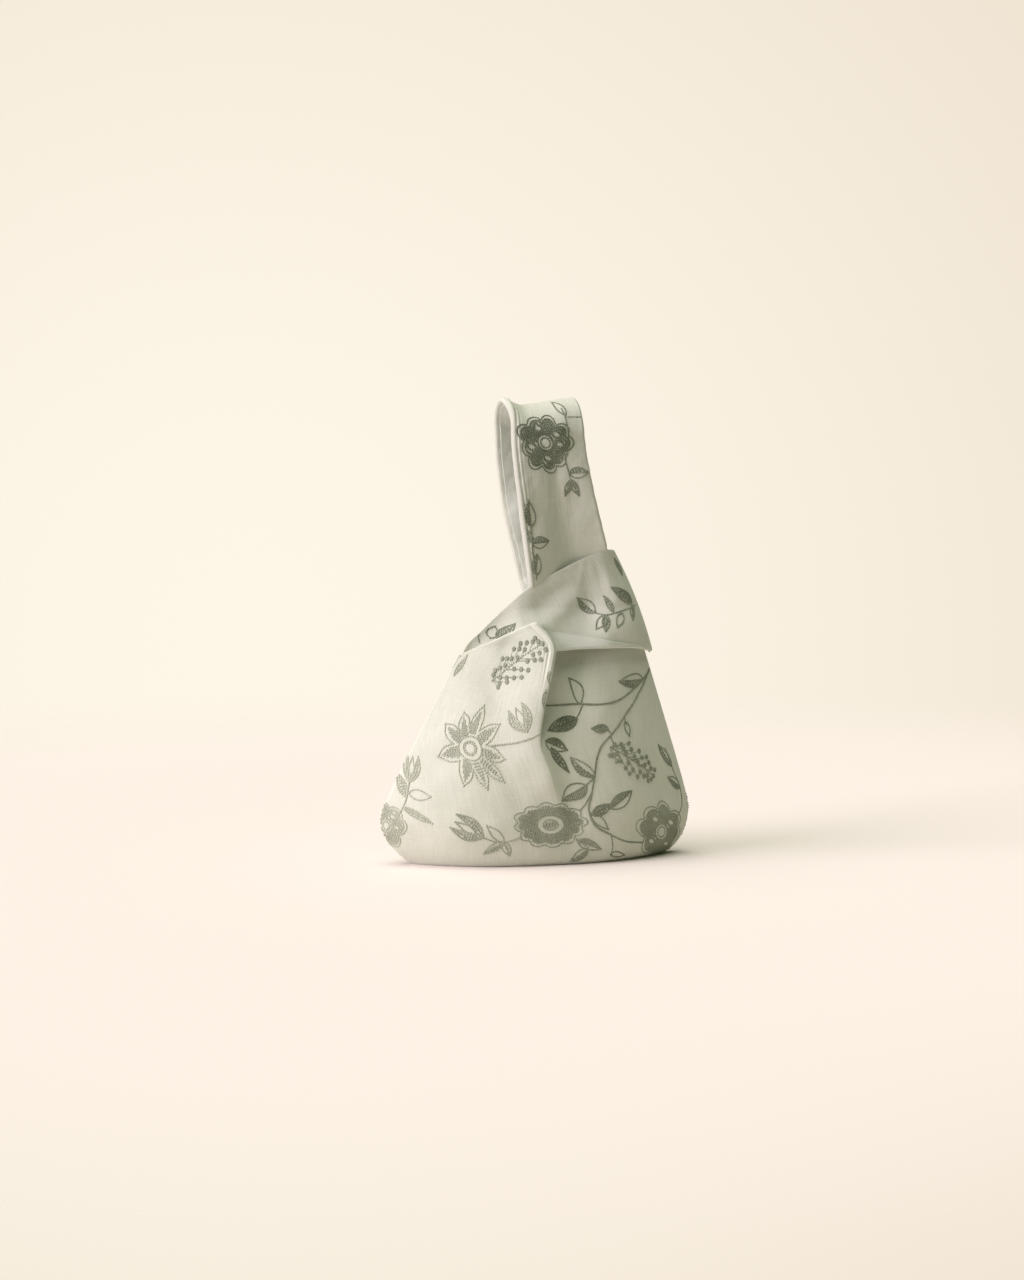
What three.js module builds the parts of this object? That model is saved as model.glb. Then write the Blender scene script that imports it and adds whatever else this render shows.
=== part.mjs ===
// A lined knot bag: a soft pouch with a short cloth loop on its left and a long cloth loop on its right.
// The long loop is drawn through the short one, which closes the mouth and leaves the long loop as the handle.
// Millimetres, +Z up, front towards -Y. The origin is on the floor under the middle of the bag.

import * as THREE from "three";

// Pouch: a pillow-shaped body that stands on a flat lens-shaped base.
const BODY_WIDTH = 242;
const WIDEST_HEIGHT = 34;
const BASE_LENGTH = 196;
const BASE_DEPTH = 70;
const BELLY_DEPTH = 94;
const BELLY_HEIGHT = 42;
const LEFT_SEAM_TOP = 155;
const LEFT_NECK = 61;
const RIGHT_PANEL_TOP = 160;
const RIGHT_NECK = 84;
const SIDE_ROUNDING = 2.7;
const SIDE_SOFT_START = 0.08;

// Mouth: a hemmed slit in each face, whose left edge laps over its right edge.
const SLIT_HEIGHT = 75;
const SLIT_PLACE = 0;
const FLAP_PEAK_HEIGHT = 179;
const FLAP_CORNER_HEIGHT = 162;
const FLAP_LAP = 6.5;
const UNDER_LAP = 24;
const SLIT_NOTCH = 1.5;
const FLAP_LIFT = 11;
const UNDER_SINK = 7;

// Knot: the short loop runs up from the left, round the long strap and back.
const KNOT_HEIGHT = 190;
const KNOT_GAP = 15.6;
const KNOT_SQUARENESS = 24;
const LOOP_TOP_LEFT_X = -46;
const LOOP_TOP_LEFT_Z = 172;
const LOOP_TOP_BEND_X = -13;
const LOOP_TOP_BEND_Z = 201;
const LOOP_TOP_RIGHT_X = 64;
const LOOP_TOP_RIGHT_Z = 234;
const LOOP_HEM_LEFT_X = -40;
const LOOP_HEM_LEFT_Z = 158;
const LOOP_HEM_RIGHT_X = 92;
const LOOP_HEM_RIGHT_Z = 154;
const LOOP_TURN_BOW = 4;
const LOOP_STANDOFF = 4.5;
const LOOP_TUCK = 3.3;

// Long strap: a flat stem in the knot, and the handle loop that folds over at the top of the knot.
const FOLD_ABOVE_LOOP = 4.5;
const STEM_LENGTH = 26;
const STEM_DROP = 7;
const HANDLE_TAIL = 4.2;
const STRAP_LEFT_X = -11;
const STRAP_RIGHT_X = 54;
const HANDLE_TOP_LEFT_X = -25;
const HANDLE_TOP_RIGHT_X = 30;
const HANDLE_TOP_HEIGHT = 347;
const HANDLE_OPENING = 48;

// Cloth: outer cloth, interlining and lining, with the turned-in seam strips beside the interlining.
const OUTER_CLOTH = 1;
const INTERLINING = 0.8;
const LINING_CLOTH = 0.7;
const CLOTH_GAP = 0.3;
const SEAM_GAP = 0.4;

// Where each layer lies, as distances in from the outer face.
const OUTER = [0, OUTER_CLOTH];
const MIDDLE = [OUTER[1] + CLOTH_GAP, OUTER[1] + CLOTH_GAP + INTERLINING];
const SEAM_STRIP = [MIDDLE[0], MIDDLE[1] - CLOTH_GAP];
const INNER = [MIDDLE[1] + CLOTH_GAP, MIDDLE[1] + CLOTH_GAP + LINING_CLOTH];
const STRAP_LINING = [OUTER[1] + CLOTH_GAP, OUTER[1] + CLOTH_GAP + LINING_CLOTH];

const mix = THREE.MathUtils.lerp;
const clamp = THREE.MathUtils.clamp;
const ease = (value) => THREE.MathUtils.smoothstep(value, 0, 1);

// Materials: one for each cloth and for the sewn seams.
const outerCloth = new THREE.MeshStandardMaterial({ color: 0xd5d3c6, roughness: 0.9, metalness: 0 });
const liningCloth = new THREE.MeshStandardMaterial({ color: 0xc3c8ba, roughness: 0.8, metalness: 0 });
const interliningCloth = new THREE.MeshStandardMaterial({ color: 0xefece2, roughness: 1, metalness: 0 });
const seamCloth = new THREE.MeshStandardMaterial({ color: 0xcfcdbd, roughness: 0.9, metalness: 0 });

// The body's half width at a height: a round lower corner, then a near-straight run up to the neck.
function sideReach(z, neck, neckHeight) {
  const half = BODY_WIDTH / 2;
  if (z < WIDEST_HEIGHT) {
    const below = 1 - z / WIDEST_HEIGHT;
    return BASE_LENGTH / 2 + (half - BASE_LENGTH / 2) * Math.sqrt(1 - below * below);
  }
  const up = (z - WIDEST_HEIGHT) / (neckHeight - WIDEST_HEIGHT);
  return mix(half, neck, (up * up * (1 + SIDE_SOFT_START)) / (up + SIDE_SOFT_START));
}

const leftSide = (z) => -sideReach(z, LEFT_NECK, LEFT_SEAM_TOP);
const rightSide = (z) => sideReach(z, RIGHT_NECK, RIGHT_PANEL_TOP);

// Where the short loop turns from front to back: a bowed, slanting line from its hem to its top edge.
const turnBow = (up) => LOOP_TURN_BOW * 4 * up * (1 - up);

function loopTurn(z) {
  const up = (z - LOOP_HEM_RIGHT_Z) / (LOOP_TOP_RIGHT_Z - LOOP_HEM_RIGHT_Z);
  return mix(LOOP_HEM_RIGHT_X, LOOP_TOP_RIGHT_X, up) + turnBow(clamp(up, 0, 1));
}

// Half the bag's depth at a height, on its middle line.
function halfDepth(z) {
  const belly = BELLY_DEPTH / 2;
  if (z < BELLY_HEIGHT) {
    const below = 1 - z / BELLY_HEIGHT;
    return BASE_DEPTH / 2 + (belly - BASE_DEPTH / 2) * Math.sqrt(1 - below * below);
  }
  const knot = KNOT_GAP / 2 + OUTER_CLOTH;
  const up = Math.min(1, (z - BELLY_HEIGHT) / (KNOT_HEIGHT - BELLY_HEIGHT));
  return knot + (belly - knot) * Math.cos((up * Math.PI) / 2);
}

// How far up a height is between the body's top and the knot.
const knotRise = (z) => (z - RIGHT_PANEL_TOP) / (KNOT_HEIGHT - RIGHT_PANEL_TOP);

// How far the cloth stands in front of the middle plane: a pillow section that squares up in the knot.
function bulge(x, z, right) {
  const left = leftSide(z);
  const across = clamp(Math.abs((2 * x - left - right) / (right - left)), 0, 1);
  const rounding = mix(SIDE_ROUNDING, KNOT_SQUARENESS, ease(knotRise(z)));
  return halfDepth(z) * (1 - across ** rounding);
}

// A cloth sheet as vertices and quads on its outer face. A seam vertex names the axis square to its seam,
// and its layers stay in the seam's plane.
class Sheet {
  points = [];
  seams = [];
  quads = [];
  places = new Map();

  point(x, y, z, seamAxis = null) {
    const key = [x, y, z].map((value) => value.toFixed(5)).join(" ");
    if (!this.places.has(key)) {
      this.places.set(key, this.points.length);
      this.points.push(new THREE.Vector3(x, y, z));
      this.seams.push(seamAxis);
    }
    return this.places.get(key);
  }

  // Rows of point numbers become a net of quads.
  net(rows) {
    for (let row = 0; row + 1 < rows.length; row++)
      for (let column = 0; column + 1 < rows[row].length; column++)
        this.quads.push([
          rows[row][column],
          rows[row][column + 1],
          rows[row + 1][column + 1],
          rows[row + 1][column],
        ]);
    return this;
  }

  // The same sheet on the back of the bag.
  mirrored() {
    const copy = new Sheet();
    copy.points = this.points.map((p) => new THREE.Vector3(p.x, -p.y, p.z));
    copy.seams = this.seams;
    copy.quads = this.quads.map((quad) => [...quad].reverse());
    return copy;
  }

  triangles() {
    const found = [];
    for (const [a, b, c, d] of this.quads)
      for (const corner of [
        [a, b, c],
        [a, c, d],
      ])
        if (new Set(corner).size === 3) found.push(corner);
    return found;
  }

  normals(triangles) {
    const sums = this.points.map(() => new THREE.Vector3());
    for (const [a, b, c] of triangles) {
      const ab = this.points[b].clone().sub(this.points[a]);
      const ac = this.points[c].clone().sub(this.points[a]);
      const face = ab.cross(ac);
      for (const corner of [a, b, c]) sums[corner].add(face);
    }
    sums.forEach((sum, index) => {
      if (this.seams[index]) sum[this.seams[index]] = 0;
      sum.normalize();
    });
    return sums;
  }

  // A closed solid between two distances in from the outer face.
  layer([near, far]) {
    const triangles = this.triangles();
    const normals = this.normals(triangles);
    const count = this.points.length;
    const position = [];
    for (const depth of [near, far])
      this.points.forEach((p, i) => position.push(...p.clone().addScaledVector(normals[i], -depth).toArray()));
    const index = [];
    const edges = new Map();
    for (const [a, b, c] of triangles) {
      index.push(a, b, c, count + a, count + c, count + b);
      for (const [from, to] of [
        [a, b],
        [b, c],
        [c, a],
      ])
        if (!edges.delete(`${to} ${from}`)) edges.set(`${from} ${to}`, [from, to]);
    }
    for (const [from, to] of edges.values()) index.push(from, count + from, to, to, count + from, count + to);
    const geometry = new THREE.BufferGeometry();
    geometry.setAttribute("position", new THREE.Float32BufferAttribute(position, 3));
    geometry.setIndex(index);
    return geometry;
  }
}

const bag = new THREE.Group();

function addPiece(name, geometry, material) {
  geometry.computeVertexNormals();
  const mesh = new THREE.Mesh(geometry, material);
  mesh.name = name;
  bag.add(mesh);
}

// Adds a front piece and its mirror image on the back.
function addPair(frontName, backName, sheet, layer, material) {
  addPiece(frontName, sheet.layer(layer), material);
  addPiece(backName, sheet.mirrored().layer(layer), material);
}

// Rows of the body: shares of the base's depth, heights of the lower wall, shares of the wall above the slit.
const BASE_SHARES = [0, 0.14, 0.17, 0.6, 1];
const LOW_WALL_SHARES = [0.09, 0.3, 0.62, 1];
const WALL_HEIGHTS = [
  ...LOW_WALL_SHARES.map((up) => up * WIDEST_HEIGHT),
  (WIDEST_HEIGHT + SLIT_HEIGHT) / 2,
  SLIT_HEIGHT,
];
const MOUTH_SHARES = [0.2, 0.4, 0.6, 0.8, 1];
const SEAM_SHARE = 0.06;
const AFTER_SEAM = 0.075;
const FLAP_PEAK_SHARE = 0.8;
const LEFT_COLUMNS = [0, SEAM_SHARE, AFTER_SEAM, 0.25, 0.42, 0.57, 0.7, FLAP_PEAK_SHARE, 0.9, 1];
const RIGHT_COLUMNS = [0, 0.12, 0.26, 0.4, 0.54, 0.68, 0.82, 1 - AFTER_SEAM, 1 - SEAM_SHARE, 1];
const LIFT_START = -44;
const LIFT_RUN = 30;
const SINK_RUN = 70;
const NOTCH_RISE = 0.2;
const PART_RISE = 0.62;

const mouthRise = (z) => clamp((z - SLIT_HEIGHT) / (FLAP_CORNER_HEIGHT - SLIT_HEIGHT), 0, 1);

// The top edge of the left half: it climbs along a crease to the flap's peak, then drops to its hemmed corner.
function leftTop(share) {
  if (share < FLAP_PEAK_SHARE) return mix(LEFT_SEAM_TOP, FLAP_PEAK_HEIGHT, share / FLAP_PEAK_SHARE);
  return mix(FLAP_PEAK_HEIGHT, FLAP_CORNER_HEIGHT, (share - FLAP_PEAK_SHARE) / (1 - FLAP_PEAK_SHARE));
}

// The hem of each half: the slit opens as a small notch, then the two hems lap past each other.
function hemPlace(half, rise) {
  const side = half === "left" ? 1 : -1;
  const lap = half === "left" ? FLAP_LAP : UNDER_LAP;
  const notch = SLIT_NOTCH * Math.min(1, rise / NOTCH_RISE);
  return SLIT_PLACE + side * ((lap + SLIT_NOTCH) * ease((rise - NOTCH_RISE) / (1 - NOTCH_RISE)) - notch);
}

// A point of the front's left or right half, at a share of that half's width.
function bodyPoint(sheet, half, share, z) {
  const rise = mouthRise(z);
  const hem = hemPlace(half, rise);
  const x = half === "left" ? mix(leftSide(z), hem, share) : mix(hem, rightSide(z), share);
  const lift = FLAP_LIFT * ease((x - LIFT_START) / LIFT_RUN);
  const sink = UNDER_SINK * (1 - ease((x - SLIT_PLACE + UNDER_LAP) / SINK_RUN));
  const forward = ease(rise / PART_RISE) * (half === "left" ? lift : -sink);
  const onSeam = share === (half === "left" ? 0 : 1);
  return sheet.point(x, -SEAM_GAP / 2 - bulge(x, z, rightSide(z)) - forward, z, onSeam ? "y" : null);
}

// One row of the base or the lower wall, right across the front.
function basePoint(sheet, half, share, depthShare) {
  const x = half === "left" ? mix(leftSide(0), SLIT_PLACE, share) : mix(SLIT_PLACE, rightSide(0), share);
  const y = -SEAM_GAP / 2 - depthShare * bulge(x, 0, rightSide(0));
  return sheet.point(x, y, 0, share === (half === "left" ? 0 : 1) ? "y" : null);
}

// The front of the body, made of the columns and rows that a layer covers.
function bodySheet(leftColumns, rightColumns, baseShares) {
  const sheet = new Sheet();
  for (const [half, columns] of [
    ["left", leftColumns],
    ["right", rightColumns],
  ]) {
    const rows = baseShares.map((depth) => columns.map((share) => basePoint(sheet, half, share, depth)));
    for (const z of WALL_HEIGHTS) rows.push(columns.map((share) => bodyPoint(sheet, half, share, z)));
    for (const up of MOUTH_SHARES)
      rows.push(
        columns.map((share) => {
          const top = half === "left" ? leftTop(share) : RIGHT_PANEL_TOP;
          return bodyPoint(sheet, half, share, mix(SLIT_HEIGHT, top, up));
        }),
      );
    sheet.net(rows);
  }
  return sheet;
}

const wholeFront = bodySheet(LEFT_COLUMNS, RIGHT_COLUMNS, BASE_SHARES);
addPair("outer_front_panel", "outer_back_panel", wholeFront, OUTER, outerCloth);
addPair("lining_front_panel", "lining_back_panel", wholeFront, INNER, liningCloth);

// The interlining is trimmed clear of the seam strips.
const trimmedFront = bodySheet(
  LEFT_COLUMNS.filter((share) => share >= AFTER_SEAM),
  RIGHT_COLUMNS.filter((share) => share <= 1 - AFTER_SEAM),
  BASE_SHARES.slice(2),
);
addPair("interlining_front", "interlining_back", trimmedFront, MIDDLE, interliningCloth);

// Seam strips: the turned-in edges of the front and back, sewn together, run up both sides and along the base.
function crossSeam(front) {
  const back = front.mirrored();
  const strip = new Sheet();
  for (const side of [front, back]) {
    const numbers = side.points.map((p, i) => strip.point(p.x, side.seams[i] ? 0 : p.y, p.z, side.seams[i]));
    side.quads.forEach((quad) => strip.quads.push(quad.map((number) => numbers[number])));
  }
  return strip;
}

function sideSeam(half, columns, topHeight) {
  const sheet = new Sheet();
  const heights = [...WALL_HEIGHTS, ...MOUTH_SHARES.map((up) => mix(SLIT_HEIGHT, topHeight, up))];
  sheet.net(heights.map((z) => columns.map((share) => bodyPoint(sheet, half, share, z))));
  return crossSeam(sheet);
}

function baseSeam() {
  const sheet = new Sheet();
  for (const [half, columns] of [
    ["left", LEFT_COLUMNS.filter((share) => share >= AFTER_SEAM)],
    ["right", RIGHT_COLUMNS.filter((share) => share <= 1 - AFTER_SEAM)],
  ])
    sheet.net(
      BASE_SHARES.slice(0, 2).map((depth) =>
        columns.map((share) => {
          const number = basePoint(sheet, half, share, depth);
          sheet.seams[number] = depth === 0 ? "y" : null;
          return number;
        }),
      ),
    );
  return crossSeam(sheet);
}

const leftSeam = sideSeam("left", LEFT_COLUMNS.slice(0, 2), LEFT_SEAM_TOP);
const rightSeam = sideSeam("right", RIGHT_COLUMNS.slice(-2), RIGHT_PANEL_TOP);
addPiece("left_side_seam", leftSeam.layer(SEAM_STRIP), seamCloth);
addPiece("right_side_seam", rightSeam.layer(SEAM_STRIP), seamCloth);
addPiece("base_seam", baseSeam().layer(SEAM_STRIP), seamCloth);

// The short loop's front run: tucked behind the flap on the left, proud of the body on the right.
const LOOP_BEND_SHARE = 0.24;
const LOOP_COLUMNS = [0, 0.12, LOOP_BEND_SHARE, 0.36, 0.48, 0.6, 0.72, 0.82, 0.89, 0.94, 0.975, 1];
const LOOP_ROWS = [0, 0.2, 0.4, 0.6, 0.8, 1];
const TUCK_END = -34;
const TUCK_RUN = 20;
const TUCK_SPREAD = 0.06;
const KNOT_STANDOFF = STRAP_LINING[1] - OUTER_CLOTH;

function loopDepth(x, z) {
  const standoff = mix(LOOP_STANDOFF, KNOT_STANDOFF, ease(knotRise(z)));
  const tuck = LOOP_TUCK + TUCK_SPREAD * (x - LOOP_HEM_LEFT_X);
  return bulge(x, z, loopTurn(z)) - mix(tuck, -standoff, ease((x - TUCK_END) / TUCK_RUN));
}

function loopHem(along) {
  const start = new THREE.Vector2(LOOP_HEM_LEFT_X, LOOP_HEM_LEFT_Z);
  return start.lerp(new THREE.Vector2(LOOP_HEM_RIGHT_X, LOOP_HEM_RIGHT_Z), along);
}

// The top edge climbs steeply to where it meets the strap, then runs flatter across it.
function loopTop(along) {
  const start = new THREE.Vector2(LOOP_TOP_LEFT_X, LOOP_TOP_LEFT_Z);
  const bend = new THREE.Vector2(LOOP_TOP_BEND_X, LOOP_TOP_BEND_Z);
  const end = new THREE.Vector2(LOOP_TOP_RIGHT_X, LOOP_TOP_RIGHT_Z);
  if (along < LOOP_BEND_SHARE) return start.lerp(bend, along / LOOP_BEND_SHARE);
  return bend.lerp(end, (along - LOOP_BEND_SHARE) / (1 - LOOP_BEND_SHARE));
}

function loopSheet() {
  const sheet = new Sheet();
  const rows = LOOP_ROWS.map((up) =>
    LOOP_COLUMNS.map((along) => {
      const hem = loopHem(along);
      const { x: straight, y: z } = hem.lerp(loopTop(along), up);
      const x = straight + turnBow(up) * along * along;
      const y = along === 1 ? 0 : loopDepth(x, z);
      return sheet.point(x, -SEAM_GAP / 2 - y, z, along === 1 ? "y" : null);
    }),
  );
  return sheet.net(rows);
}

const shortLoop = loopSheet();
addPair("short_loop_front", "short_loop_back", shortLoop, OUTER, outerCloth);
addPair("short_loop_lining_front", "short_loop_lining_back", shortLoop, STRAP_LINING, liningCloth);

// The fold line of the handle lies just above the short loop's top edge and runs along it.
const foldRun = LOOP_TOP_RIGHT_X - LOOP_TOP_BEND_X;
const foldAlong = new THREE.Vector2(foldRun, LOOP_TOP_RIGHT_Z - LOOP_TOP_BEND_Z).normalize();
const foldUp = new THREE.Vector2(-foldAlong.y, foldAlong.x);
const loopTopHeight = (x) => LOOP_TOP_BEND_Z + ((x - LOOP_TOP_BEND_X) * foldAlong.y) / foldAlong.x;
const foldHeight = (x, above) => loopTopHeight(x) + (FOLD_ABOVE_LOOP + above) / foldUp.y;

// The strap's left and right edges as it climbs from the fold line to the top of the handle.
const STRAP_FOOT = foldHeight((STRAP_LEFT_X + STRAP_RIGHT_X) / 2, 0);
const ARCH_RADIUS = HANDLE_OPENING / 2;
const ARCH_HEIGHT = HANDLE_TOP_HEIGHT - ARCH_RADIUS;

function strapEdge(foot, top, z) {
  return mix(foot, top, (z - STRAP_FOOT) / (ARCH_HEIGHT - STRAP_FOOT));
}

// Where a column of the strap, at a share of its width, meets a line parallel to the fold.
function strapStart(share, above) {
  const foot = mix(STRAP_LEFT_X, STRAP_RIGHT_X, share);
  const lean = (mix(HANDLE_TOP_LEFT_X, HANDLE_TOP_RIGHT_X, share) - foot) / (ARCH_HEIGHT - STRAP_FOOT);
  const climb = foldAlong.y / foldAlong.x;
  return (foldHeight(foot, above) - climb * lean * STRAP_FOOT) / (1 - climb * lean);
}

// The stem: the doubled cloth of the strap, flat inside the knot, a leg in front and a leg behind.
const STEM_FACE = KNOT_GAP / 2 - CLOTH_GAP;
const STEM_CLOTH = STRAP_LINING[1];

function stemSheet() {
  const sheet = new Sheet();
  const rows = [-STEM_DROP - STEM_LENGTH, -STEM_DROP].map((above) =>
    [0, 0.5, 1].map((share) => {
      const x = mix(STRAP_LEFT_X, STRAP_RIGHT_X, share);
      return sheet.point(x, -STEM_FACE, foldHeight(x, above));
    }),
  );
  return sheet.net(rows);
}

addPair("long_strap_stem_front", "long_strap_stem_back", stemSheet(), [0, STEM_CLOTH], outerCloth);

// The handle: each leg leans outwards from the knot, and the front leg carries on over the arch to its seam.
const STRAP_COLUMNS = [0, 0.33, 0.67, 1];
const SEAM_START = 0.93;
const LEG_SHARES = [0, 0.06, 0.14, 0.32, 0.54, 0.78, SEAM_START, 1];
const LEG_UPRIGHT = 0.1;
const LEG_FLARE = 0.8;
const ARCH_TURNS = [0.14, 0.28, 0.42, 0.58, 0.72, 0.86, 1];

function legDepth(z, foot) {
  const up = (z - foot) / (ARCH_HEIGHT - foot);
  return mix(STEM_FACE, ARCH_RADIUS, ease((up - LEG_UPRIGHT) / (1 - LEG_UPRIGHT)) ** LEG_FLARE);
}

// A row of the strap across its columns: up the leg for shares 0 to 1.
function legRow(sheet, up, topHeight) {
  return STRAP_COLUMNS.map((share) => {
    const foot = strapStart(share, -HANDLE_TAIL);
    const z = mix(foot, topHeight, up);
    const left = strapEdge(STRAP_LEFT_X, HANDLE_TOP_LEFT_X, z);
    const right = strapEdge(STRAP_RIGHT_X, HANDLE_TOP_RIGHT_X, z);
    return sheet.point(mix(left, right, share), -legDepth(z, foot), z, up === 1 ? "z" : null);
  });
}

// A row over the arch, at a share of its half turn.
function archRow(sheet, turn) {
  const angle = turn * Math.PI;
  return STRAP_COLUMNS.map((share) =>
    sheet.point(
      mix(HANDLE_TOP_LEFT_X, HANDLE_TOP_RIGHT_X, share),
      -ARCH_RADIUS * Math.cos(angle),
      ARCH_HEIGHT + ARCH_RADIUS * Math.sin(angle),
      turn === 1 ? "z" : null,
    ),
  );
}

function legSheet(topHeight, turns) {
  const sheet = new Sheet();
  const rows = LEG_SHARES.map((up) => legRow(sheet, up, topHeight));
  for (const turn of turns) rows.push(archRow(sheet, turn));
  return sheet.net(rows);
}

const frontLeg = legSheet(ARCH_HEIGHT, ARCH_TURNS);
const backLeg = legSheet(ARCH_HEIGHT - SEAM_GAP, []).mirrored();
addPiece("handle_front_leg", frontLeg.layer(OUTER), outerCloth);
addPiece("handle_back_leg", backLeg.layer(OUTER), outerCloth);
addPiece("handle_lining_front", frontLeg.layer(INNER), liningCloth);
addPiece("handle_lining_back", backLeg.layer(INNER), liningCloth);

// The shoulder seam joins the two legs behind the arch, between the outer cloth and the lining.
function shoulderSeam() {
  const sheet = new Sheet();
  const legTop = new Sheet();
  const underArch = legRow(legTop, SEAM_START, ARCH_HEIGHT);
  const lower = underArch.map((number) => {
    const { x, y, z } = legTop.points[number];
    return sheet.point(x, -y, z);
  });
  const middle = archRow(sheet, 1);
  const upper = archRow(sheet, ARCH_TURNS.at(-2));
  return sheet.net([upper, middle, lower]);
}

addPiece("handle_shoulder_seam", shoulderSeam().layer(SEAM_STRIP), seamCloth);

export default bag;
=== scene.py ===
import math

import bmesh
import bpy
import numpy as np
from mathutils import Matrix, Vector


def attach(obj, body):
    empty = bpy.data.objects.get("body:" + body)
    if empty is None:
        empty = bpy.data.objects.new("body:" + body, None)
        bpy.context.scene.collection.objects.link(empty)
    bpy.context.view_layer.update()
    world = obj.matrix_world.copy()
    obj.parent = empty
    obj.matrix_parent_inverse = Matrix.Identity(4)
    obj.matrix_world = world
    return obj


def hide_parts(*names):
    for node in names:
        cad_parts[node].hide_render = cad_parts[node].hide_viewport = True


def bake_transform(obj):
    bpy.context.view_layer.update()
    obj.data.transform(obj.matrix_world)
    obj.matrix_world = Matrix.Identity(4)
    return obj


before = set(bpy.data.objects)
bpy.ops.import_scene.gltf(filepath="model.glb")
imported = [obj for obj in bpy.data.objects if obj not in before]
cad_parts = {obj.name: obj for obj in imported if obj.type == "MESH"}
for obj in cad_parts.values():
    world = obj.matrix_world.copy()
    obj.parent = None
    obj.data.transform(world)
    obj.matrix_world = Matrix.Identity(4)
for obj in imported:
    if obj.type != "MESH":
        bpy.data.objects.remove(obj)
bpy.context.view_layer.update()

# The studio: a cream paper floor that fades into a cream surround, a broad low light from the left, a
# softer one overhead, and a camera that stands low, a little to the bag's left.
MM = 0.001
FLOOR_REACH, FLOOR_SOLID = 1.3, 0.45
FLOOR_COLOUR = (0.83, 0.765, 0.71)
SURROUND_BRIGHT, SURROUND_DIM = (0.99, 0.92, 0.80), (0.82, 0.72, 0.59)
SURROUND_LIGHT = (0.075, 0.105, 0.06)
BRIGHT_ASIDE, BRIGHT_SPREAD = -0.085, 0.25
KEY_COLOUR, KEY_POWER, KEY_SPREAD = (0.965, 0.835, 1.0), 3.2, math.radians(40)
KEY_SIDE, KEY_HEIGHT = math.radians(-80), math.radians(18)
TOP_COLOUR, TOP_POWER, TOP_SPREAD = (1.0, 0.97, 0.90), 2.6, math.radians(60)
TOP_SIDE, TOP_HEIGHT = math.radians(-90), math.radians(80)
VIEW_SIDE, VIEW_HEIGHT = math.radians(-16), math.radians(5)
VIEW_DISTANCE = 2.3
PICTURE_ROWS, ROW_HEIGHT = 1280, 0.0007505
PICTURE_HEIGHT = PICTURE_ROWS * ROW_HEIGHT
VIEW_CENTRE = Vector((0, 0, 0.175))
VIEW_SHIFT = (-0.0185, -0.0098)
FILM_HEIGHT = 36.0


def towards(side, height):
    """The direction from the bag to something at this side angle and height angle."""
    level = math.cos(height)
    return Vector((math.sin(side) * level, -math.cos(side) * level, math.sin(height)))


view_back = towards(VIEW_SIDE, VIEW_HEIGHT)
view_right = Vector((math.cos(VIEW_SIDE), math.sin(VIEW_SIDE), 0))


class Field:
    """A socket of a node tree; arithmetic on it adds Math nodes."""

    def __init__(self, nodes, socket):
        self.nodes, self.socket = nodes, socket

    def maths(self, operation, first, second):
        return self.nodes.node("ShaderNodeMath", {"operation": operation}, {0: first, 1: second})

    def __add__(self, other):
        return self.maths("ADD", self, other)

    def __sub__(self, other):
        return self.maths("SUBTRACT", self, other)

    def __rsub__(self, other):
        return self.maths("SUBTRACT", other, self)

    def __mul__(self, other):
        return self.maths("MULTIPLY", self, other)

    __radd__, __rmul__ = __add__, __mul__


class Nodes:
    """A node tree, built one node at a time."""

    def __init__(self, tree):
        self.tree = tree

    def put(self, target, value):
        if isinstance(value, Field):
            self.tree.links.new(value.socket, target)
        else:
            target.default_value = value

    def node(self, kind, settings, sockets, out=0):
        made = self.tree.nodes.new(kind)
        for key, value in settings.items():
            setattr(made, key, value)
        for key, value in sockets.items():
            self.put(made.inputs[key], value)
        return Field(self, made.outputs[out])


class Finish(Nodes):
    """The nodes of a material, or of the surround, and the shader that they feed."""

    def __init__(self, owner):
        owner.use_nodes = True
        super().__init__(owner.node_tree)
        self.owner = owner
        self.shader = next(node for node in self.tree.nodes if node.outputs)

    def set(self, **sockets):
        for key, value in sockets.items():
            self.put(self.shader.inputs[key.replace("_", " ").title()], value)

    def blend(self, first, second, factor):
        settings = {"data_type": "RGBA"}
        return self.node("ShaderNodeMix", settings, {0: factor, 6: first, 7: second}, out=2)

    def distance(self, place, centre, near, far):
        """How far a place lies from a centre: 0 up to the near distance, 1 from the far one on."""
        gap = self.node("ShaderNodeVectorMath", {"operation": "DISTANCE"}, {0: place, 1: centre}, "Value")
        sockets = {"Value": gap, "From Min": near, "From Max": far}
        return self.node("ShaderNodeMapRange", {"interpolation_type": "SMOOTHSTEP"}, sockets)


def new_piece(name, data):
    piece = bpy.data.objects.new(name, data)
    bpy.context.collection.objects.link(piece)
    return piece


def make_floor():
    mesh = bpy.data.meshes.new("floor")
    reach = FLOOR_REACH
    corners = [(-reach, -reach, 0), (reach, -reach, 0), (reach, reach, 0), (-reach, reach, 0)]
    mesh.from_pydata(corners, [], [(0, 1, 2, 3)])
    paper = Finish(bpy.data.materials.new("floor_paper"))
    place = paper.node("ShaderNodeTexCoord", {}, {}, "Object")
    faded = paper.distance(place, (0, 0, 0), FLOOR_SOLID, FLOOR_REACH)
    paper.set(base_color=(*FLOOR_COLOUR, 1), roughness=1.0, alpha=1 - faded)
    paper.put(paper.shader.inputs["Specular IOR Level"], 0.0)
    mesh.materials.append(paper.owner)
    new_piece("floor", mesh)


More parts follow.
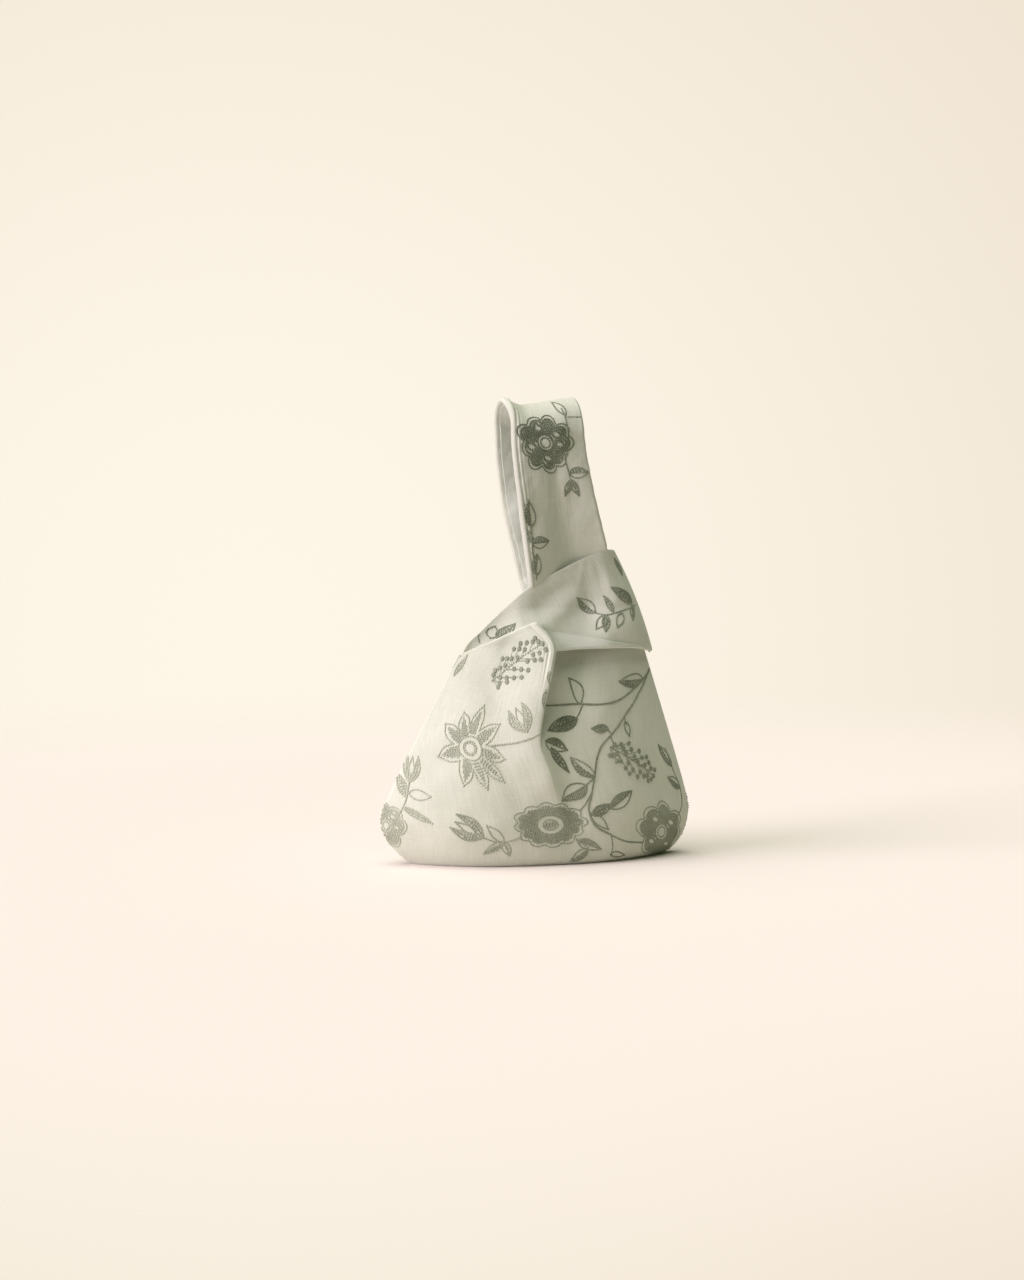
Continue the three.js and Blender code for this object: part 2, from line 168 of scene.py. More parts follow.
def make_surround():
    """The surround as the camera sees it, brightest beside the bag, and the dimmer light that it sheds."""
    surround = Finish(bpy.data.worlds.new("surround"))
    brightest = (view_right * BRIGHT_ASIDE - view_back).normalized()
    way = surround.node("ShaderNodeTexCoord", {}, {}, "Generated")
    dimming = surround.distance(way, brightest, 0.0, 2 * BRIGHT_SPREAD)
    seen = surround.blend((*SURROUND_BRIGHT, 1), (*SURROUND_DIM, 1), dimming)
    camera_ray = surround.node("ShaderNodeLightPath", {}, {}, "Is Camera Ray")
    surround.set(color=surround.blend((*SURROUND_LIGHT, 1), seen, camera_ray))
    bpy.context.scene.world = surround.owner


def look_along(piece, way):
    """Turns a light or the camera to look along a direction."""
    piece.rotation_mode = "QUATERNION"
    piece.rotation_quaternion = way.to_track_quat("-Z", "Y")


def make_light(name, side, height, colour, power, spread):
    light = bpy.data.lights.new(name, "SUN")
    light.color = colour
    light.energy = power
    light.angle = spread
    look_along(new_piece(name, light), -towards(side, height))


def make_camera():
    aim = VIEW_CENTRE + view_right * VIEW_SHIFT[0] + view_back.cross(view_right) * VIEW_SHIFT[1]
    lens = bpy.data.cameras.new("camera")
    lens.sensor_fit = "VERTICAL"
    lens.sensor_height = FILM_HEIGHT
    lens.lens = FILM_HEIGHT * VIEW_DISTANCE / PICTURE_HEIGHT
    camera = new_piece("camera", lens)
    camera.location = aim + view_back * VIEW_DISTANCE
    look_along(camera, -view_back)
    bpy.context.scene.camera = camera


make_floor()
make_surround()
make_light("key_light", KEY_SIDE, KEY_HEIGHT, KEY_COLOUR, KEY_POWER, KEY_SPREAD)
make_light("top_light", TOP_SIDE, TOP_HEIGHT, TOP_COLOUR, TOP_POWER, TOP_SPREAD)
make_camera()
bpy.context.scene.view_settings.view_transform = "Standard"

# The outer cloth: a front and a back panel of pale embroidered linen, stiffened by an interlining and
# sewn together down both sides and along the base. The mouth is a slit: the left leaf laps over the
# right one, its hem rolled to the inside and its upper corner folded over where the knot pulls it.
BODY_WIDTH, WIDEST_HEIGHT, BASE_LENGTH = 242, 34, 196
BASE_DEPTH, BELLY_DEPTH, BELLY_HEIGHT = 70, 94, 42
LEFT_NECK, LEFT_SEAM_TOP = 61, 155
RIGHT_NECK, RIGHT_PANEL_TOP = 84, 160
SIDE_SOFT_START, SIDE_ROUNDING = 0.08, 2.7
KNOT_HEIGHT, KNOT_DEPTH, KNOT_ROUNDING, KNOT_RUN = 190, 8.8, 10, 30
SLIT_FOOT, LEAF_PARTING = 86, 30
RIDGE_START, RIDGE_RISE, RIDGE_HEIGHT = 30, 54, 8
FLAP_LIFT, FLAP_RISE, FLAP_RUN = 6, 50, 36
UNDER_SINK, UNDER_LAP, UNDER_TOP = 14, 22, 184
RIDGE_FALL, VALLEY_FALL, FALL_RISE = 11, 62, 40
FRONT_VALLEY, BACK_VALLEY = 2.0, 0.0
VALLEY_START, VALLEY_RISE = 40, 40
CLOTH_THICKNESS = 1.0
PANEL_COLUMNS, BASE_ROWS, WALL_ROWS, LEAF_ROWS = 84, 10, 58, 64
# Where columns and rows start to stand closer, how many do, and how the wall's rows gather at the base.
CLOSE_SHARE, CLOSE_COLUMNS, CLOSE_RISE, CLOSE_ROWS, WALL_GATHER = 0.85, 24, 0.9, 16, 1.4
LINEN_PALE, LINEN_DEEP = (0.665, 0.68, 0.565), (0.555, 0.575, 0.465)
# Soft folds: each runs from x0, z0 to x1, z1, with its width and its height.
FRONT_FOLDS = (
    (-104, 58, -58, 98, 9, -1.6), (-52, 150, -30, 108, 7, -1.3), (-40, 158, -14, 118, 8, 1.2),
    (8, 62, 20, 26, 9, -1.3), (78, 150, 62, 96, 9, -1.4), (98, 92, 108, 36, 8, 1.4),
    (-78, 34, -30, 22, 10, 1.3), (40, 46, 92, 26, 10, 1.2), (30, 150, 44, 104, 10, 1.3),
    (-112, 40, -92, 18, 7, -1.2), (66, 120, 92, 84, 7, 1.1),
)
BACK_FOLDS = (
    (-98, 70, -50, 104, 10, -1.5), (-46, 150, -30, 100, 8, 1.3), (12, 60, 24, 24, 9, -1.2),
    (76, 146, 58, 92, 9, -1.4), (96, 96, 106, 40, 8, 1.4), (-70, 30, -20, 24, 11, 1.3),
    (34, 40, 84, 28, 10, 1.1), (-112, 46, -90, 20, 7, -1.1),
)
# Small waves in the cloth: the length and height of each kind, and how folds and waves fade at the seams
# and above the base.
PANEL_WAVES = ((46, 0.7), (15, 0.16))
SEAM_FADE, BASE_FADE = 6, 20


def mix(a, b, t):
    return a + (b - a) * t


def ease(t):
    """Goes from 0 to 1 with level ends."""
    t = np.clip(t, 0.0, 1.0)
    return t * t * (3.0 - 2.0 * t)


def through(*points):
    """A smooth line through points (place, value), as a function of the place."""
    place, value = np.array(points, float).T
    slope = np.gradient(value, place)

    def line(where):
        where = np.clip(where, place[0], place[-1])
        k = np.clip(np.searchsorted(place, where, side="right") - 1, 0, len(place) - 2)
        run = place[k + 1] - place[k]
        t = (where - place[k]) / run
        bend = t * (1 - t) * ((1 - t) * (slope[k] * run) - t * (slope[k + 1] * run))
        return mix(value[k], value[k + 1], ease(t)) + bend

    return line


# The hem's line up the mouth, and the leaf's upper edge: a crease from the left seam, then the peak.
hem_line = through(
    (0, 9.5), (45, 2.8), (68, -4.4), (92, -11.8), (117, -9), (142, -1.6), (162, 4.4), (184, 10))
CREASE = (
    (-60.5, 155), (-45.5, 162), (-31.7, 167.4), (-17.2, 175),
    (-7, 179.5), (-0.5, 171.8), (1.9, 168.2), (3.2, 165),
)
FLAP_CORNER = (3.6, 159.5)
# Where the mouth's line lies on the cloth laid flat, so that the vine keeps its place.
MOUTH_PLACE = -5.5
# How the sides round off into the base: 0.5 is a full round corner, and more is a slacker one.
LEFT_CORNER, RIGHT_CORNER = 1.0, 0.55


def side_reach(z, neck, neck_height, corner):
    half = BODY_WIDTH / 2
    low = 1 - np.clip(z / WIDEST_HEIGHT, 0, 1)
    below = mix(BASE_LENGTH / 2, half, (1 - low**2) ** corner)
    up = np.maximum(0.0, (z - WIDEST_HEIGHT) / (neck_height - WIDEST_HEIGHT))
    above = mix(half, neck, up**2 * (1 + SIDE_SOFT_START) / (up + SIDE_SOFT_START))
    return np.where(z < WIDEST_HEIGHT, below, above)


def left_side(z):
    return -side_reach(z, LEFT_NECK, LEFT_SEAM_TOP, LEFT_CORNER)


def right_side(z):
    return side_reach(z, RIGHT_NECK, RIGHT_PANEL_TOP, RIGHT_CORNER)


def half_depth(z):
    low = 1 - np.clip(z / BELLY_HEIGHT, 0, 1)
    below = mix(BASE_DEPTH, BELLY_DEPTH, np.sqrt(1 - low**2)) / 2
    up = np.clip((z - BELLY_HEIGHT) / (KNOT_HEIGHT - BELLY_HEIGHT), 0, 1)
    above = mix(KNOT_DEPTH, BELLY_DEPTH / 2, np.cos(up * math.pi / 2))
    return np.where(z < BELLY_HEIGHT, below, above)


def across(x, z, right):
    left = left_side(z)
    return np.clip(np.abs(2 * x - left - right) / (right - left), 0, 1)


def bulge(x, z, right):
    rounding = mix(SIDE_ROUNDING, KNOT_ROUNDING, ease((z - RIGHT_PANEL_TOP) / KNOT_RUN))
    return half_depth(z) * (1 - across(x, z, right) ** rounding)


FOLD_FADE = 0.3


def folds(x, z, lines):
    """How far soft folds lift the cloth, each fading out beyond both of its ends."""
    total = np.zeros_like(x)
    for x0, z0, x1, z1, width, height in lines:
        run_x, run_z = x1 - x0, z1 - z0
        length = math.hypot(run_x, run_z)
        t = ((x - x0) * run_x + (z - z0) * run_z) / length**2
        off = ((x - x0) * run_z - (z - z0) * run_x) / length
        ends = ease((t + FOLD_FADE) / (2 * FOLD_FADE)) * ease((1 + FOLD_FADE - t) / (2 * FOLD_FADE))
        total += height * ends * np.exp(-((off / width) ** 2))
    return total


RIPPLE_COUNT, RIPPLE_LENGTHS, RIPPLE_SUM = 7, (0.7, 1.6), 2.6


def ripples(x, z, length, height, seed):
    """Small uneven waves in cloth, from a few crossing sines."""
    draw = np.random.default_rng(seed)
    total = np.zeros_like(x)
    for _ in range(RIPPLE_COUNT):
        angle, phase = draw.uniform(0, 2 * math.pi, 2)
        wave = length * draw.uniform(*RIPPLE_LENGTHS)
        total += np.sin((x * math.cos(angle) + z * math.sin(angle)) * 2 * math.pi / wave + phase)
    return total * height / RIPPLE_SUM


def drape(x, z, lines, waves, seed):
    """How far folds and small waves lift the cloth."""
    total = folds(x, z, lines)
    for k, (length, height) in enumerate(waves):
        total = total + ripples(x, z, length, height, seed + k)
    return total


# The hollow beside the mouth: its share of the full depth at each distance from the hem.
valley_form = through((0, 0), (8, 0.6), (17, 1), (34, 0.55), (58, 0))


def flap_forward(x, z, left, valley_depth):
    """How far a leaf stands forward: the left one lifts at its hem, and the right one sinks under it."""
    ridge = RIDGE_HEIGHT * ease((z - RIDGE_START) / RIDGE_RISE)
    hem = hem_line(z)
    if left:
        lift = ridge + FLAP_LIFT * ease((z - SLIT_FOOT) / FLAP_RISE)
        return lift * ease((x - hem + FLAP_RUN) / FLAP_RUN)
    sink = ridge - UNDER_SINK * ease((z - SLIT_FOOT) / LEAF_PARTING)
    fall = mix(RIDGE_FALL, VALLEY_FALL, ease((z - SLIT_FOOT) / FALL_RISE))
    valley = valley_depth * ease((z - VALLEY_START) / VALLEY_RISE) * valley_form(x - hem)
    return sink * (1 - ease((x - hem) / fall)) - valley


def leaf_top(share):
    """The left leaf's upper edge: its height at each share of the way from the side seam to the hem."""
    x, z = np.array((*CREASE, FLAP_CORNER), float).T
    place = (x - left_side(z)) / (hem_line(z) - left_side(z))
    return np.interp(share, place, z)


def leaf(left, lines, shares, rises, seed, valley_depth):
    """One half of a panel: the base, the wall up to the slit, and the leaf beside the slit."""
    base, wall, mouth = rises
    top = leaf_top(shares) if left else np.full(len(shares), UNDER_TOP)
    z = np.concatenate([
        np.zeros((len(base), len(shares))),
        np.outer(wall * SLIT_FOOT, np.ones(len(shares))),
        SLIT_FOOT + np.outer(mouth, top - SLIT_FOOT),
    ])
    out = np.concatenate([base, np.ones(len(wall) + len(mouth))])[:, None]
    parted = ease((z - SLIT_FOOT) / LEAF_PARTING)
    start = left_side(z) if left else hem_line(z) - UNDER_LAP * parted
    end = hem_line(z) if left else right_side(z)
    x = mix(start, end, shares[None, :])
    near_side = 1 - across(x, z, right_side(z)) ** SEAM_FADE
    lift = ease(z / BASE_FADE) * near_side * drape(x, z, lines, PANEL_WAVES, seed)
    depth = bulge(x, z, right_side(z)) + flap_forward(x, z, left, valley_depth) + lift
    return np.stack([x, -depth * out, z], axis=-1)


def lengths(points, axis):
    """Running length along one direction of a grid of points."""
    step = np.linalg.norm(np.diff(points, axis=axis), axis=-1)
    first = np.zeros_like(np.take(step, [0], axis=axis))
    return np.concatenate([first, np.cumsum(step, axis=axis)], axis=axis)


def leaf_flat(points, left):
    """The leaf laid flat: lengths from the mouth's line across and from the base's edge upwards."""
    across_run, up_run = lengths(points, 1), lengths(points, 0)
    if left:
        middle = across_run[:, -1]
    else:
        hem = hem_line(points[:, 0, 2])
        middle = np.array([np.interp(h, p[:, 0], run) for h, p, run in zip(hem, points, across_run)])
    return np.stack([across_run - middle[:, None] + MOUTH_PLACE, up_run - up_run[BASE_ROWS]], axis=-1)


def unit(v):
    return v / np.maximum(np.linalg.norm(v, axis=-1, keepdims=True), 1e-9)


def normals(points):
    """Outward directions of a grid whose columns run to the right and whose rows run up."""
    return unit(np.cross(np.gradient(points, axis=1), np.gradient(points, axis=0)))


# A hem's steps round its roll, and the places of its rows along the tail that lies back inside.
ROLL_STEPS, TAIL_PLACES = 9, (0.35, 0.7, 1.0)


def turned_edge(line, facing, flat, radius, tail):
    """A hem: from an edge that runs clockwise, the cloth rolls round and lies back on its inside."""
    radius = np.broadcast_to(np.asarray(radius, float), len(line))[:, None]
    outward = unit(np.cross(facing, np.gradient(line, axis=0)))
    run = np.gradient(flat, axis=0)
    flat_out = unit(np.stack([-run[:, 1], run[:, 0]], axis=-1))
    rows, flat_rows = [], []
    for turn in np.linspace(0, math.pi, ROLL_STEPS):
        rows.append(line + radius * ((math.cos(turn) - 1) * facing + math.sin(turn) * outward))
        flat_rows.append(flat + flat_out * radius * turn)
    for share in TAIL_PLACES:
        rows.append(line - 2 * radius * facing - outward * tail * share)
        flat_rows.append(flat + flat_out * (radius * math.pi + tail * share))
    return np.stack(rows), np.stack(flat_rows)


def edge_distance(points, line):
    """The distance of each grid point from a line, given as many points."""
    gap = np.full(points.shape[:2], np.inf)
    for p in line:
        gap = np.minimum(gap, np.linalg.norm(points - p, axis=-1))
    return gap


HEM_MARGIN, HEM_RAISE, HEM_SLOPE = 3.6, 0.75, 0.9
# The lines where the margin is sewn down: the distance from the edge, the width and the depth of each.
SEWN_LINES = ((HEM_MARGIN + 0.5, 0.75, 0.8), (2 * HEM_MARGIN - 0.6, 0.6, 0.4))


def hem_band(points, line, strength=1.0):
    """Raises the turned-in margin along an edge and dips the lines where it is sewn down."""
    gap = edge_distance(points, line)
    raised = HEM_RAISE * ease((HEM_MARGIN - gap) / HEM_SLOPE + 0.5)
    dip = sum(depth * np.exp(-(((gap - place) / width) ** 2)) for place, width, depth in SEWN_LINES)
    return points + normals(points) * ((raised - dip) * strength)[..., None]


WELD, SLIVER = 0.02, 0.005


def cloth_mesh(name, patches, mirrored=False):
    """One welded sheet from grids of points in mm, with its flat lengths kept as the UV map 'cloth'."""
    verts, flats, faces = [], [], []
    for points, flat, *kept in patches:
        rows, columns = points.shape[:2]
        index = np.arange(rows * columns).reshape(rows, columns) + len(verts)
        corners = [index[:-1, :-1], index[:-1, 1:], index[1:, 1:], index[1:, :-1]]
        quads = np.stack(corners, axis=-1).reshape(-1, 4)
        if kept:
            quads = quads[kept[0].ravel()]
        faces += (quads[:, ::-1] if mirrored else quads).tolist()
        verts += (points.reshape(-1, 3) * (1, -1 if mirrored else 1, 1) * MM).tolist()
        flats += (flat.reshape(-1, 2) * MM).tolist()
    mesh = bpy.data.meshes.new(name)
    mesh.from_pydata(verts, [], faces)
    uv = mesh.uv_layers.new(name="cloth")
    uv.data.foreach_set("uv", np.array(flats)[np.array(faces).ravel()].ravel())
    shell = bmesh.new()
    shell.from_mesh(mesh)
    bmesh.ops.remove_doubles(shell, verts=shell.verts, dist=WELD * MM)
    bmesh.ops.dissolve_degenerate(shell, edges=shell.edges, dist=SLIVER * MM)
    shell.to_mesh(mesh)
    shell.free()
    mesh.polygons.foreach_set("use_smooth", [True] * len(mesh.polygons))
    return mesh


def settle(piece):
    """Turns a piece's modifiers into its mesh."""
    shown = piece.evaluated_get(bpy.context.evaluated_depsgraph_get())
    mesh = bpy.data.meshes.new_from_object(shown)
    mesh.name = piece.name
    piece.modifiers.clear()
    piece.data = mesh


def cloth(name, patches, material, thickness=CLOTH_THICKNESS, mirrored=False):
    """A piece of cloth with its thickness on the inner side."""
    piece = new_piece(name, cloth_mesh(name, patches, mirrored))
    piece.data.materials.append(material)
    wall = piece.modifiers.new("thickness", "SOLIDIFY")
    wall.thickness = thickness * MM
    wall.offset = -1
    settle(piece)
    return piece


# How many yarns, thick slubs and soft clouds of colour there are to a metre, across and along.
YARNS, SLUBS, CLOUDS = (900.0, 60.0), (420.0, 26.0), (22.0, 22.0)
YARN_HEIGHT, LINEN_GLOSS, LINEN_SHEEN, SHEEN_ROUGHNESS = 0.0006, 0.25, 0.12, 0.6
YARN_DETAIL, SLUB_DETAIL, OUTER_BUMP = 3.0, 2.0, 0.5


def streaks(finish, flat, across_count, along_count, detail):
    """Noise stretched along a direction of the cloth, from 0 to 1."""
    scale = (across_count, along_count, 1)
    place = finish.node("ShaderNodeMapping", {}, {"Vector": flat, "Scale": scale})
    sockets = {"Vector": place, "Scale": 1.0, "Detail": detail, "Roughness": 0.6}
    return finish.node("ShaderNodeTexNoise", {"noise_dimensions": "2D"}, sockets)


def linen(name, pale, deep, bump):
    """Plain-woven cloth: uneven yarns both ways, a few thick slubs, and soft cloudy colour."""
    finish = Finish(bpy.data.materials.new(name))
    flat = finish.node("ShaderNodeUVMap", {"uv_map": "cloth"}, {})
    warp = streaks(finish, flat, *YARNS, YARN_DETAIL)
    weft = streaks(finish, flat, *YARNS[::-1], YARN_DETAIL)
    slubs = streaks(finish, flat, *SLUBS, SLUB_DETAIL)
    clouds = streaks(finish, flat, *CLOUDS, SLUB_DETAIL)
    yarns = warp * 0.36 + weft * 0.26 + slubs * 0.22 + clouds * 0.3
    colour = finish.blend((*pale, 1), (*deep, 1), yarns * 2.2 - 0.8)
    height = warp * 0.5 + weft * 0.5 + slubs * 0.35
    sockets = {"Strength": bump, "Distance": YARN_HEIGHT, "Height": height}
    finish.set(base_color=colour, roughness=yarns * 0.2 + 0.78)
    finish.set(normal=finish.node("ShaderNodeBump", {}, sockets))
    finish.put(finish.shader.inputs["Specular IOR Level"], LINEN_GLOSS)
    finish.set(sheen_weight=LINEN_SHEEN, sheen_roughness=SHEEN_ROUGHNESS)
    return finish.owner


outer_linen = linen("outer_linen", LINEN_PALE, LINEN_DEEP, OUTER_BUMP)


def panel_shares(left):
    """Column places, closer together at the hem."""
    wide = np.linspace(0, CLOSE_SHARE, PANEL_COLUMNS - CLOSE_COLUMNS)
    close = np.linspace(CLOSE_SHARE, 1, CLOSE_COLUMNS + 1)[1:]
    shares = np.concatenate([wide, close])
    return shares if left else (1 - shares)[::-1]


def panel_rises():
    """Row places: across the base, up the wall, and up the leaf with close rows at its top."""
    base = np.linspace(0, 1, BASE_ROWS + 1)[:-1]
    wall = np.linspace(0, 1, WALL_ROWS) ** WALL_GATHER
    wide = np.linspace(0, CLOSE_RISE, LEAF_ROWS - CLOSE_ROWS)[1:]
    close = np.linspace(CLOSE_RISE, 1, CLOSE_ROWS + 1)[1:]
    return base, wall, np.concatenate([wide, close])


# The roll of the leaf's edge: at the seam, along the crease, down the mouth and at the slit's foot.
SEAM_RADIUS, CREASE_RADIUS, HEM_RADIUS, FOOT_RADIUS = 1.1, 2.3, 1.5, 0.62
CREASE_START, CREASE_RUN = -60, 50
PEAK_STEPS, FOOT_STEPS = 4, 14
# The margin behind the roll: along the crease and a little way round the corner, and down the mouth.
HEM_TAIL, TAIL_STEPS, FOOT_TAIL, FOOT_CLEAR = 7, 30, 2, 3


def leaf_hem(points, flat):
    """The left leaf's crease and hem as one turned edge: over the peak and down the mouth."""
    foot = BASE_ROWS + WALL_ROWS - 1
    corner = len(points[0]) - 1
    edge, facing, flat_edge = (
        np.concatenate([grid[-1], grid[-2:foot - 1:-1, -1]]) for grid in (points, normals(points), flat))
    peak = np.argmax(edge[:, 2])
    place = np.arange(len(edge))
    to_foot = len(edge) - 1 - place
    radius = mix(SEAM_RADIUS, CREASE_RADIUS, ease((edge[:, 0] - CREASE_START) / CREASE_RUN))
    radius = mix(radius, HEM_RADIUS, ease((place - peak) / PEAK_STEPS))
    radius = mix(FOOT_RADIUS, radius, ease(to_foot / FOOT_STEPS))
    tail = FOOT_TAIL * ease((to_foot - FOOT_CLEAR) / FOOT_STEPS)
    tail = tail + HEM_TAIL * (place < corner + TAIL_STEPS)
    return turned_edge(edge, facing, flat_edge, radius, tail[:, None]), edge[peak:]


# The raised hem band: faint beside the slit, and full from this height up.
BAND_FAINT, BAND_START, BAND_FADE = 0.1, 4, 10
BAND_FULL, BAND_RISE = 135, 20


def panel(name, lines, seed, valley_depth, mirrored):
    """Both halves of a panel, with the rolled hem of its overlapping leaf."""
    rises = panel_rises()
    left = leaf(True, lines, panel_shares(True), rises, seed, valley_depth)
    right = leaf(False, lines, panel_shares(False), rises, seed, valley_depth)
    left_flat, right_flat = leaf_flat(left, True), leaf_flat(right, False)
    hem, hem_edge = leaf_hem(left, left_flat)
    z = left[..., 2]
    strength = mix(BAND_FAINT, 1, ease((z - BAND_FULL) / BAND_RISE))
    raised = hem_band(left, hem_edge, strength * ease((z - SLIT_FOOT - BAND_START) / BAND_FADE))
    raised[-1], raised[:, -1] = left[-1], left[:, -1]
    patches = [(raised, left_flat), (right, right_flat), hem]
    piece = cloth(name, patches, outer_linen, mirrored=mirrored)
    return piece, (left, left_flat), (right, right_flat)


FRONT_SEED, BACK_SEED = 3, 11
SEAMS = ("left_side_seam", "right_side_seam", "base_seam")
front_panel, front_left, front_right = panel("front_panel", FRONT_FOLDS, FRONT_SEED, FRONT_VALLEY, False)
back_panel, back_left, back_right = panel("back_panel", BACK_FOLDS, BACK_SEED, BACK_VALLEY, True)
for piece, nodes in (
    (front_panel, ("outer_front_panel", "interlining_front", *SEAMS)),
    (back_panel, ("outer_back_panel", "interlining_back")),
):
    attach(piece, "bag_body")
    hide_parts(*nodes)

# The bag's lining: the same two panels again in plain pale cotton, a little smaller, sewn to the outer
# cloth along the mouth. It shows only where the leaves part.
LINING_INSET, LINING_THICKNESS, LINING_BUMP = 2.3, 0.7, 0.25
# How far each lining keeps from the bag's middle, and the part of a leaf's grid inside its hems.
LINING_CLEAR = 0.4
INSIDE_HEMS = np.s_[:-5:2, 3:-3:2]
LINING_PALE, LINING_DEEP = (0.69, 0.71, 0.615), (0.61, 0.635, 0.54)
lining_cotton = linen("lining_cotton", LINING_PALE, LINING_DEEP, LINING_BUMP)


def inside(points, inset):
    """The same sheet moved to the inner side, kept on its own side of the bag."""
    moved = points - normals(points) * inset
    moved[..., 1] = np.minimum(moved[..., 1], -LINING_CLEAR)
    moved[..., 2] = np.maximum(moved[..., 2], inset)
    return moved


def lining(name, left, right, mirrored):
    """Both halves of a lining panel, ending just inside the hems."""
    patches = []
    for points, flat in (left, right):
        moved = inside(points, LINING_INSET)
        patches.append((moved[INSIDE_HEMS], flat[INSIDE_HEMS]))
    return cloth(name, patches, lining_cotton, LINING_THICKNESS, mirrored)


front_lining = lining("front_lining", front_left, front_right, False)
back_lining = lining("back_lining", back_left, back_right, True)
for piece, node in ((front_lining, "lining_front_panel"), (back_lining, "lining_back_panel")):
    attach(piece, "bag_body")
    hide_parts(node)

# The short loop: the bag's left shoulder runs on as a broad band across the front, round the right side
# and back behind, and holds the long strap. Its lower margin is turned up, so the lining shows as a cuff.
# How far the band stands off the bag: low down, and higher where the knot closes.
LOOP_STANDOFF, LOOP_CLOSE = 4.5, 1.0
# The root is tucked behind the left leaf: how deep, how that grows to the right, and where it comes out.
LOOP_TUCK, TUCK_SLOPE, TUCK_START, TUCK_END, TUCK_RUN = 3.3, 0.06, -40, -34, 20
# Up to here from the left the band has no folds or waves.
LOOP_SMOOTH_END = -54
LOOP_TURN_LOW, LOOP_TURN_HIGH, LOOP_TURN_BOW = (91.5, 156), (61.2, 231.2), 2.5
LOOP_TOP = (
    (-58.5, 147), (-57, 157.5), (-41.2, 174.6), (-25, 190), (-10.6, 203),
    (18.5, 218.2), (40, 227.8), (52.5, 231.6), (61.2, 231.2),
)
LOOP_BOTTOM = (
    (-57, 140), (-51, 149), (-30, 155), (0, 159), (22, 161), (52, 161), (78, 159), (91.5, 156),
)
# Left of this place the upper parts of the front and back runs are pinched together.
LOOP_PINCH_X, PINCH_RUN, PINCH_RISE, LOOP_PINCH_DEPTH = -3, 40, 0.3, 2.1
LOOP_ROOT_DEPTH, ROOT_SHARE = 1.8, 0.5
BACK_DROP, BACK_DROP_END = 4.5, 12
LOOP_COLUMNS, LOOP_ROWS, LOOP_GATHER, TURN_POWER = 120, 46, 1.5, 6
LOOP_CUT = (0.3355, 0.0995)
LOOP_AREA = 0.0204
LOOP_LINING_CUT = (0.3255, 0.0755)
LOOP_LINING_AREA = 0.0139
LOOP_FOLDS = (
    (-9, 169, 31, 198, 7, 1.5), (-20, 178, 20, 207, 8.5, -2.6), (14, 174, 40, 200, 9, -1.2),
    (40, 222, 76, 186, 7, 1.3), (56, 224, 84, 170, 5, -0.9), (10, 172, 70, 170, 8, -1.0),
    (0, 205, 40, 220, 5, 0.8), (46, 192, 84, 186, 24, 4.5), (34, 226, 30, 206, 2.4, 0.5),
    (43, 225, 48, 202, 2.6, -0.5), (51, 222, 53, 203, 2.4, 0.45), (59, 218, 64, 196, 2.6, -0.4),
)
LOOP_WAVES, LOOP_SEED = ((34, 0.5), (12, 0.14)), 5


def route(points):
    """A smooth line through points x, z, as two functions of the share of its length."""
    spots = np.array(points, float)
    run = lengths(spots[None], 1)[0]
    share = run / run[-1]
    return through(*zip(share, spots[:, 0])), through(*zip(share, spots[:, 1]))


def loop_turn(z):
    """Where the loop turns round the right side."""
    up = (z - LOOP_TURN_LOW[1]) / (LOOP_TURN_HIGH[1] - LOOP_TURN_LOW[1])
    return mix(LOOP_TURN_LOW[0], LOOP_TURN_HIGH[0], up) + 4 * LOOP_TURN_BOW * up * (1 - up)


def loop_forward(x, z, rounded):
    """How far the band stands forward of the bag, from its tucked root to its rounded turn."""
    stand = mix(LOOP_STANDOFF, LOOP_CLOSE, ease((z - RIGHT_PANEL_TOP) / KNOT_RUN)) * rounded
    tuck = -LOOP_TUCK - TUCK_SLOPE * (x - TUCK_START)
    lift = drape(x, z, LOOP_FOLDS, LOOP_WAVES, LOOP_SEED) * rounded
    lift = lift * ease((x - LOOP_SMOOTH_END) / TUCK_RUN)
    return mix(tuck, stand, ease((x - TUCK_END) / TUCK_RUN)) + lift


def loop_run(places, rises):
    """The front run of the loop, from its root at the left to the turn at the right."""
    top_x, top_z = route(LOOP_TOP)
    low_x, low_z = route(LOOP_BOTTOM)
    rise = rises[:, None]
    x = mix(low_x(places), top_x(places), rise)
    z = mix(low_z(places), top_z(places), rise)
    x = x + 4 * LOOP_TURN_BOW * rise * (1 - rise) * places**TURN_POWER
    turn = np.maximum(loop_turn(z), x)
    rounded = np.sqrt(1 - across(x, z, turn) ** TURN_POWER)
    depth = bulge(x, z, turn) + loop_forward(x, z, rounded)
    pinch = ease((LOOP_PINCH_X - x) / PINCH_RUN) * ease((rise - PINCH_RISE) / (1 - PINCH_RISE))
    depth = mix(depth, np.minimum(depth, LOOP_PINCH_DEPTH), pinch)
    depth = np.where(places > ROOT_SHARE, depth, np.maximum(depth, LOOP_ROOT_DEPTH))
    return np.stack([x, -depth, z], axis=-1)


def there_and_back(front):
    """A front run carried on round its last column to the back run, which sits lower at the pinch."""
    back = front[:, -2::-1] * (1, -1, 1)
    rise = np.linspace(0, 1, len(back))[:, None]
    back[..., 2] -= BACK_DROP * rise * ease((BACK_DROP_END - back[..., 0]) / BACK_DROP_END)
    return np.concatenate([front, back], axis=1)


def sheet_flat(points):
    """A sheet laid flat: lengths across from its left edge and up from its bottom edge."""
    return np.stack([lengths(points, 1), lengths(points, 0)], axis=-1)


def top_hem(points, flat, radius, tail):
    return turned_edge(points[-1], normals(points)[-1], flat[-1], radius, tail)


def bottom_hem(points, flat, radius, tail):
    return turned_edge(points[0, ::-1], normals(points)[0, ::-1], flat[0, ::-1], radius, tail)


